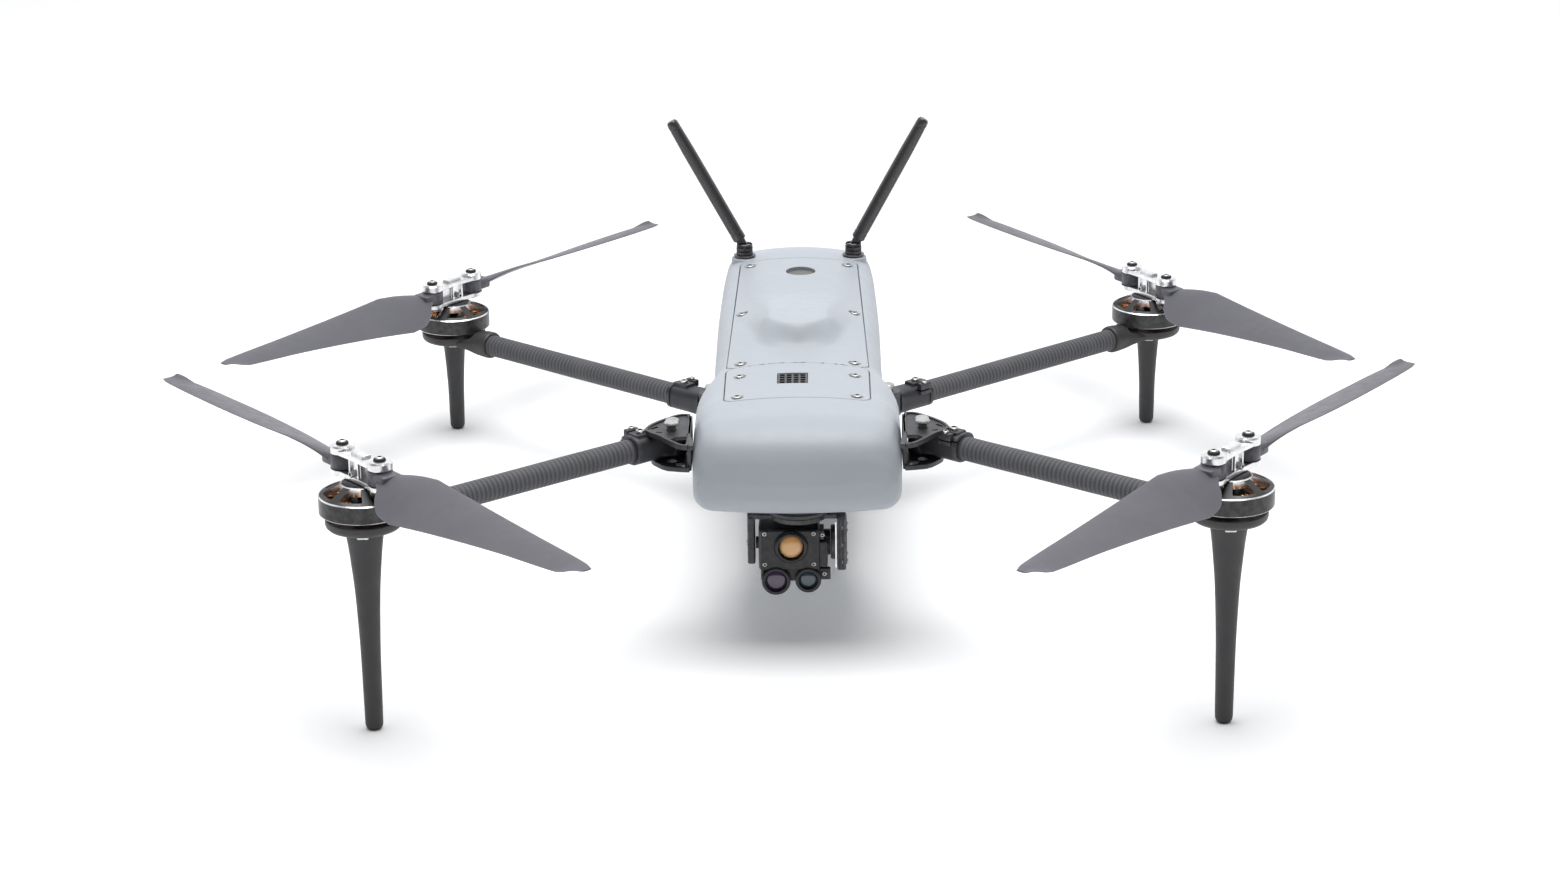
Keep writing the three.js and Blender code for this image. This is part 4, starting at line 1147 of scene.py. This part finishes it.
def make_aerial(name, side):
    seat = joint_place("antenna_swivel_" + name)
    elbow = joint_place("antenna_tilt_" + name)
    low = 0.3 - (seat.z - 119.2)
    profile = [(0, low), (6.0, low), (6.1, low + 0.3), (6.1, low + 0.9), (5.7, low + 1.2), (4.7, low + 1.3)]
    for ring in (1.4, 3.7):
        steps = ((4.3, -0.2), (4.9, 0.25), (4.9, 1.6), (4.3, 2.0))
        profile += [(radius, low + ring + up) for radius, up in steps]
    rise = elbow.z - seat.z
    profile += [(4.9, low + 6.1), (4.6, rise + 1.9), (4.0, rise + 2.4), (0, rise + 2.4)]
    notches = []
    for k in range(20):
        a = TAU * k / 20
        notch = block(-0.22, 0.22, -0.22, 0.22, low + 1.5, low + 6)
        notches.append(at(notch, 4.95 * math.cos(a), 4.95 * math.sin(a)))
    collar = cut(turned(profile, 60), *notches)
    collar = cut(collar, block(-9, 9, -1.8, 1.8, rise - 3.4, rise + 9))
    pin = placed(turned([(0, -4.35), (0.9, -4.35), (0.9, 4.35), (0, 4.35)], 20), TO_FRONT)
    collar = merged(collar, painted(at(pin, 0, 0, rise), 1))
    piece("aerial_base_" + name, collar, [GLOSS, STEEL], "antenna_base_" + name,
          "antenna_base_" + name, Matrix.Translation(seat))

    length, lean = 83.4, math.radians(28.5)
    rod = turned(
        [(0, 5.3), (3.3, 5.3), (3.75, 5.8), (3.75, 9.6), (3.55, 10.0), (3.55, 10.3), (3.7, 10.7), (3.7, 44),
         (3.62, 64), (3.3, 78), (3.15, 78.4), (3.3, 78.8), (3.3, 80.6), (3.1, 82.2), (2.3, 83.2),
         (1.2, length), (0, length)], 64)
    tongue = rounded(block(-2.5, 2.5, -1.45, 1.45, 0, 7), 0.3, 2)
    knob = placed(turned([(0, -1.45), (2.6, -1.45), (2.6, 1.45), (0, 1.45)], 40), TO_FRONT)
    eye = placed(turned([(0, -5), (1.1, -5), (1.1, 5), (0, 5)], 20), TO_FRONT)
    shell = merged(rod, cut(tongue, eye), cut(knob, eye))
    place = Matrix.Translation(elbow) @ Matrix.Rotation(side * lean, 4, "Y")
    rod_name = "antenna_rod_" + name
    piece("aerial_rod_" + name, shell, [GLOSS], rod_name, rod_name, place)


# ---- camera ---------------------------------------------------------------------------------------------


def forward_turned(profile, x, y, z, segments=48):
    """A profile of radius and reach towards the front, about an axis along Y."""
    return at(placed(turned(profile, segments), TO_FRONT), x, y, z)


def make_gimbal():
    pan = joint_place("gimbal_pan")
    tilt = joint_place("gimbal_tilt")
    y = tilt.y
    base = turned(
        [(0, 0.3), (15.2, 0.3), (15.8, 0.8), (15.8, 2.2), (15.2, 2.7), (14.6, 2.9), (14.6, 4.3), (0, 4.3)], 96)
    piece("gimbal_ring", at(base, pan.x, pan.y, pan.z), [MOUNT_DARK], "airframe", "gimbal_base")

    top = pan.z
    under = top - 2.5
    left, right = -25.2, 23.7
    bar = rounded(block(left, right, y - 6, y + 6, under, top), 0.6)
    disc = at(turned([(0, -2.5), (14.3, -2.5), (14.3, -0.4), (13.9, 0), (0, 0)], 64), 0, y, top)
    slim = rounded(block(left, left + 3.8, y - 6, y + 6, tilt.z - 9.5, top - 0.2), 0.9, 3)
    pad = placed(turned([(0, 0), (4.6, 0), (4.6, 0.9), (4.2, 1.2), (0, 1.2)]), TO_LEFT)
    slim_pad = at(pad, left, y, tilt.z)
    thick = rounded(block(right - 4.4, right, y - 9, y + 9, tilt.z - 12, top - 0.3), 0.9, 3)
    rib = rounded(block(-4.4, -3.6, -9.7, -8, tilt.z - 10.5, top - 1.5), 0.25)
    ribs = [at(rib, right + 1.5 * k, y) for k in range(3)]
    cover = rounded(block(right - 1.2, right + 0.5, y - 6.5, y + 6.5, tilt.z - 10, top - 4), 0.5, 2)
    drum = placed(turned([(0, -7.6), (8.2, -7.6), (8.6, -7.2), (8.6, -2), (0, -2)], 64), TO_LEFT)
    drum = at(drum, right, y, tilt.z)
    strip = rounded(block(right - 5.4, right - 4.5, y - 8.8, y - 7.9, tilt.z - 10.5, top - 3), 0.2)
    screws = []
    for dy, dz in ((-5.2, 7.5), (5.2, 7.5), (-5.2, -8.2), (5.2, -8.2)):
        screws.append(at(placed(cap_screw(1.0, 0.8, 1, 2), TO_LEFT), right + 0.4, y + dy, tilt.z + dz))
    for dz in (10.5, -7.5, 1.5):
        screws.append(at(placed(cap_screw(0.85, 0.6, 1, 2), TO_FRONT), right - 2.1, y - 8.9, tilt.z + dz))
    screws.append(at(placed(cap_screw(1.6, 0.7, 1, 2), TO_LEFT.inverted()), left + 0.1, y, tilt.z))
    shell = merged(bar, disc, slim, slim_pad, thick, *ribs, cover, drum, painted(strip, 3), *screws)
    piece("yoke", shell, [DARK, STEEL, SHADE_AND_WASHER_BLACK, ALUMINIUM], "gimbal_yoke", "gimbal_yoke")


# middle of each lower lens and the radius of its barrel
LOWER_LENSES = {"left": (-11.1, 36, 7.2), "right": (4.8, 36.4, 6.5)}


def dome(radius, base, tall, step):
    """The profile of a lens's rounded front, short of its tip."""
    angles = [math.radians(degrees) for degrees in range(0, 90, step)]
    return [(radius * math.cos(a), base + tall * math.sin(a)) for a in angles]


def make_camera_head():
    tilt = joint_place("gimbal_tilt")
    y, z = tilt.y, tilt.z
    left, right, half, front = -19.6, 10.8, 11, -126
    body = rounded(block(left, right, front, y + half, z - half, z + half), 1.6, 3)
    fins = [block(left - 1, right + 1, y + 6.5, y + 20, z - 8.8 + 3.0 * k, z - 7.3 + 3.0 * k) for k in range(6)]
    body = cut(body, *fins)
    plate = block(left + 0.7, right - 0.5, front - 0.9, front + 0.6, z - half + 0.6, z + half - 0.6)
    plate = rounded(plate, 0.8, 3)
    eye_x, eye_z, ring = -3.5, z + 2, 8.2
    well = forward_turned([(0, -6), (ring + 0.3, -6), (ring + 0.3, 9), (0, 9)], eye_x, front + 0.6, eye_z, 64)
    body, plate = cut(body, at(well, 0, 3.6)), cut(plate, well)
    shelf = rounded(block(left + 1.5, right - 0.5, front + 1, y + 2, z - half - 6, z - half + 1), 1.0)
    shells = [body, plate, shelf]
    for x, dz in ((left + 3, 8.8), (right - 3.2, 8.8), (left + 3, -7.2), (right - 3.2, -7.2)):
        shells.append(at(placed(cap_screw(1.15, 0.7, 1, 2), TO_FRONT), x, front - 0.8, z + dz))
    for x, cz, r in LOWER_LENSES.values():
        barrel = [(0, -13), (r - 0.3, -13), (r - 0.3, -3.2), (r, -2.8), (r, 0.5), (r - 0.1, 1.5),
                  (r - 0.7, 2.0),
                  (r - 1.6, 2.0), (r - 1.9, 1.5), (r - 2.0, 0.2), (r - 2.9, -0.2), (0, -0.2)]
        shells.append(forward_turned(barrel, x, front, cz, 64))
    tab = block(left + 1, left + 2.4, front - 0.6, front + 4, z - half - 4.5, z - half + 1.5)
    shells.append(rounded(tab, 0.3))
    box_x = right + 0.4
    shells.append(rounded(block(right - 0.6, box_x + 3.4, front + 1.0, y + 3, z - 9.4, z + 3.6), 0.6, 2))
    shells.append(rounded(block(right - 0.6, box_x + 1.6, front + 1.5, y, z + 4.6, z + 9.6), 0.5, 2))
    shells.append(rounded(block(right - 1.5, right + 5.2, front + 1.6, front + 5, z - 16.6, z - 10.4), 0.8, 2))
    for dx, dz in ((1.8, 7.2), (2.6, -13.2)):
        shells.append(at(placed(cap_screw(1.15, 0.8, 1, 2), TO_FRONT), right - 0.6 + dx, front + 1.7, z + dz))
    trunnion = at(placed(turned([(0, 0), (3, 0), (3, 3), (0, 3)], 32), TO_LEFT), -25.2 + 4.1, y, z)
    roll = placed(turned([(0, -1), (6.2, -1), (6.5, -0.6), (6.5, 4.9), (6.2, 5.2), (0, 5.2)], 48), TO_LEFT)
    roll = at(roll, right, y, z)
    shells += [trunnion, roll]
    piece("camera_body", merged(*shells), [BLACK, STEEL, SHADE_AND_WASHER_BLACK], "camera", "camera_head")

    for name, material in (("left", PURPLE), ("right", TEAL)):
        x, cz, r = LOWER_LENSES[name]
        glass = [(0, -0.6), (r - 2.1, -0.6), *dome(r - 2.1, -0.1, 1.2, 10)]
        shell = forward_turned(glass + [(0, 1.1)], x, front, cz)
        piece(f"lower_lens_{name}", shell, [material], "camera", sharp=60, weighted=False)

    rings = [(0, -1.6), (ring, -1.6), (ring, 1.6), (ring - 0.5, 2.1), (ring - 0.5, 3.0), (ring - 0.9, 3.4),
             (ring - 1.6, 3.4), (ring - 1.8, 3.0), (ring - 2.0, 1.2), (ring - 2.3, 0.6), (0, 0.6)]
    shell = forward_turned(rings, eye_x, front, eye_z, 80)
    bulb = [(0, 0.2), (5.85, 0.2), *dome(5.85, 0.7, 1.9, 6), (0, 2.6)]
    bulb = forward_turned(bulb, eye_x, front, eye_z, 64)
    piece("thermal_eye", merged(shell, painted(bulb, 1)), [BLACK, GOLD], "camera", "thermal_lens")


make_hull()
make_button()
make_grille()
make_insides()
for arm in ARMS:
    make_bracket(arm)
    make_arm(arm)
    make_rotor(arm)
make_aerial("left", 1)
make_aerial("right", -1)
make_gimbal()
make_camera_head()
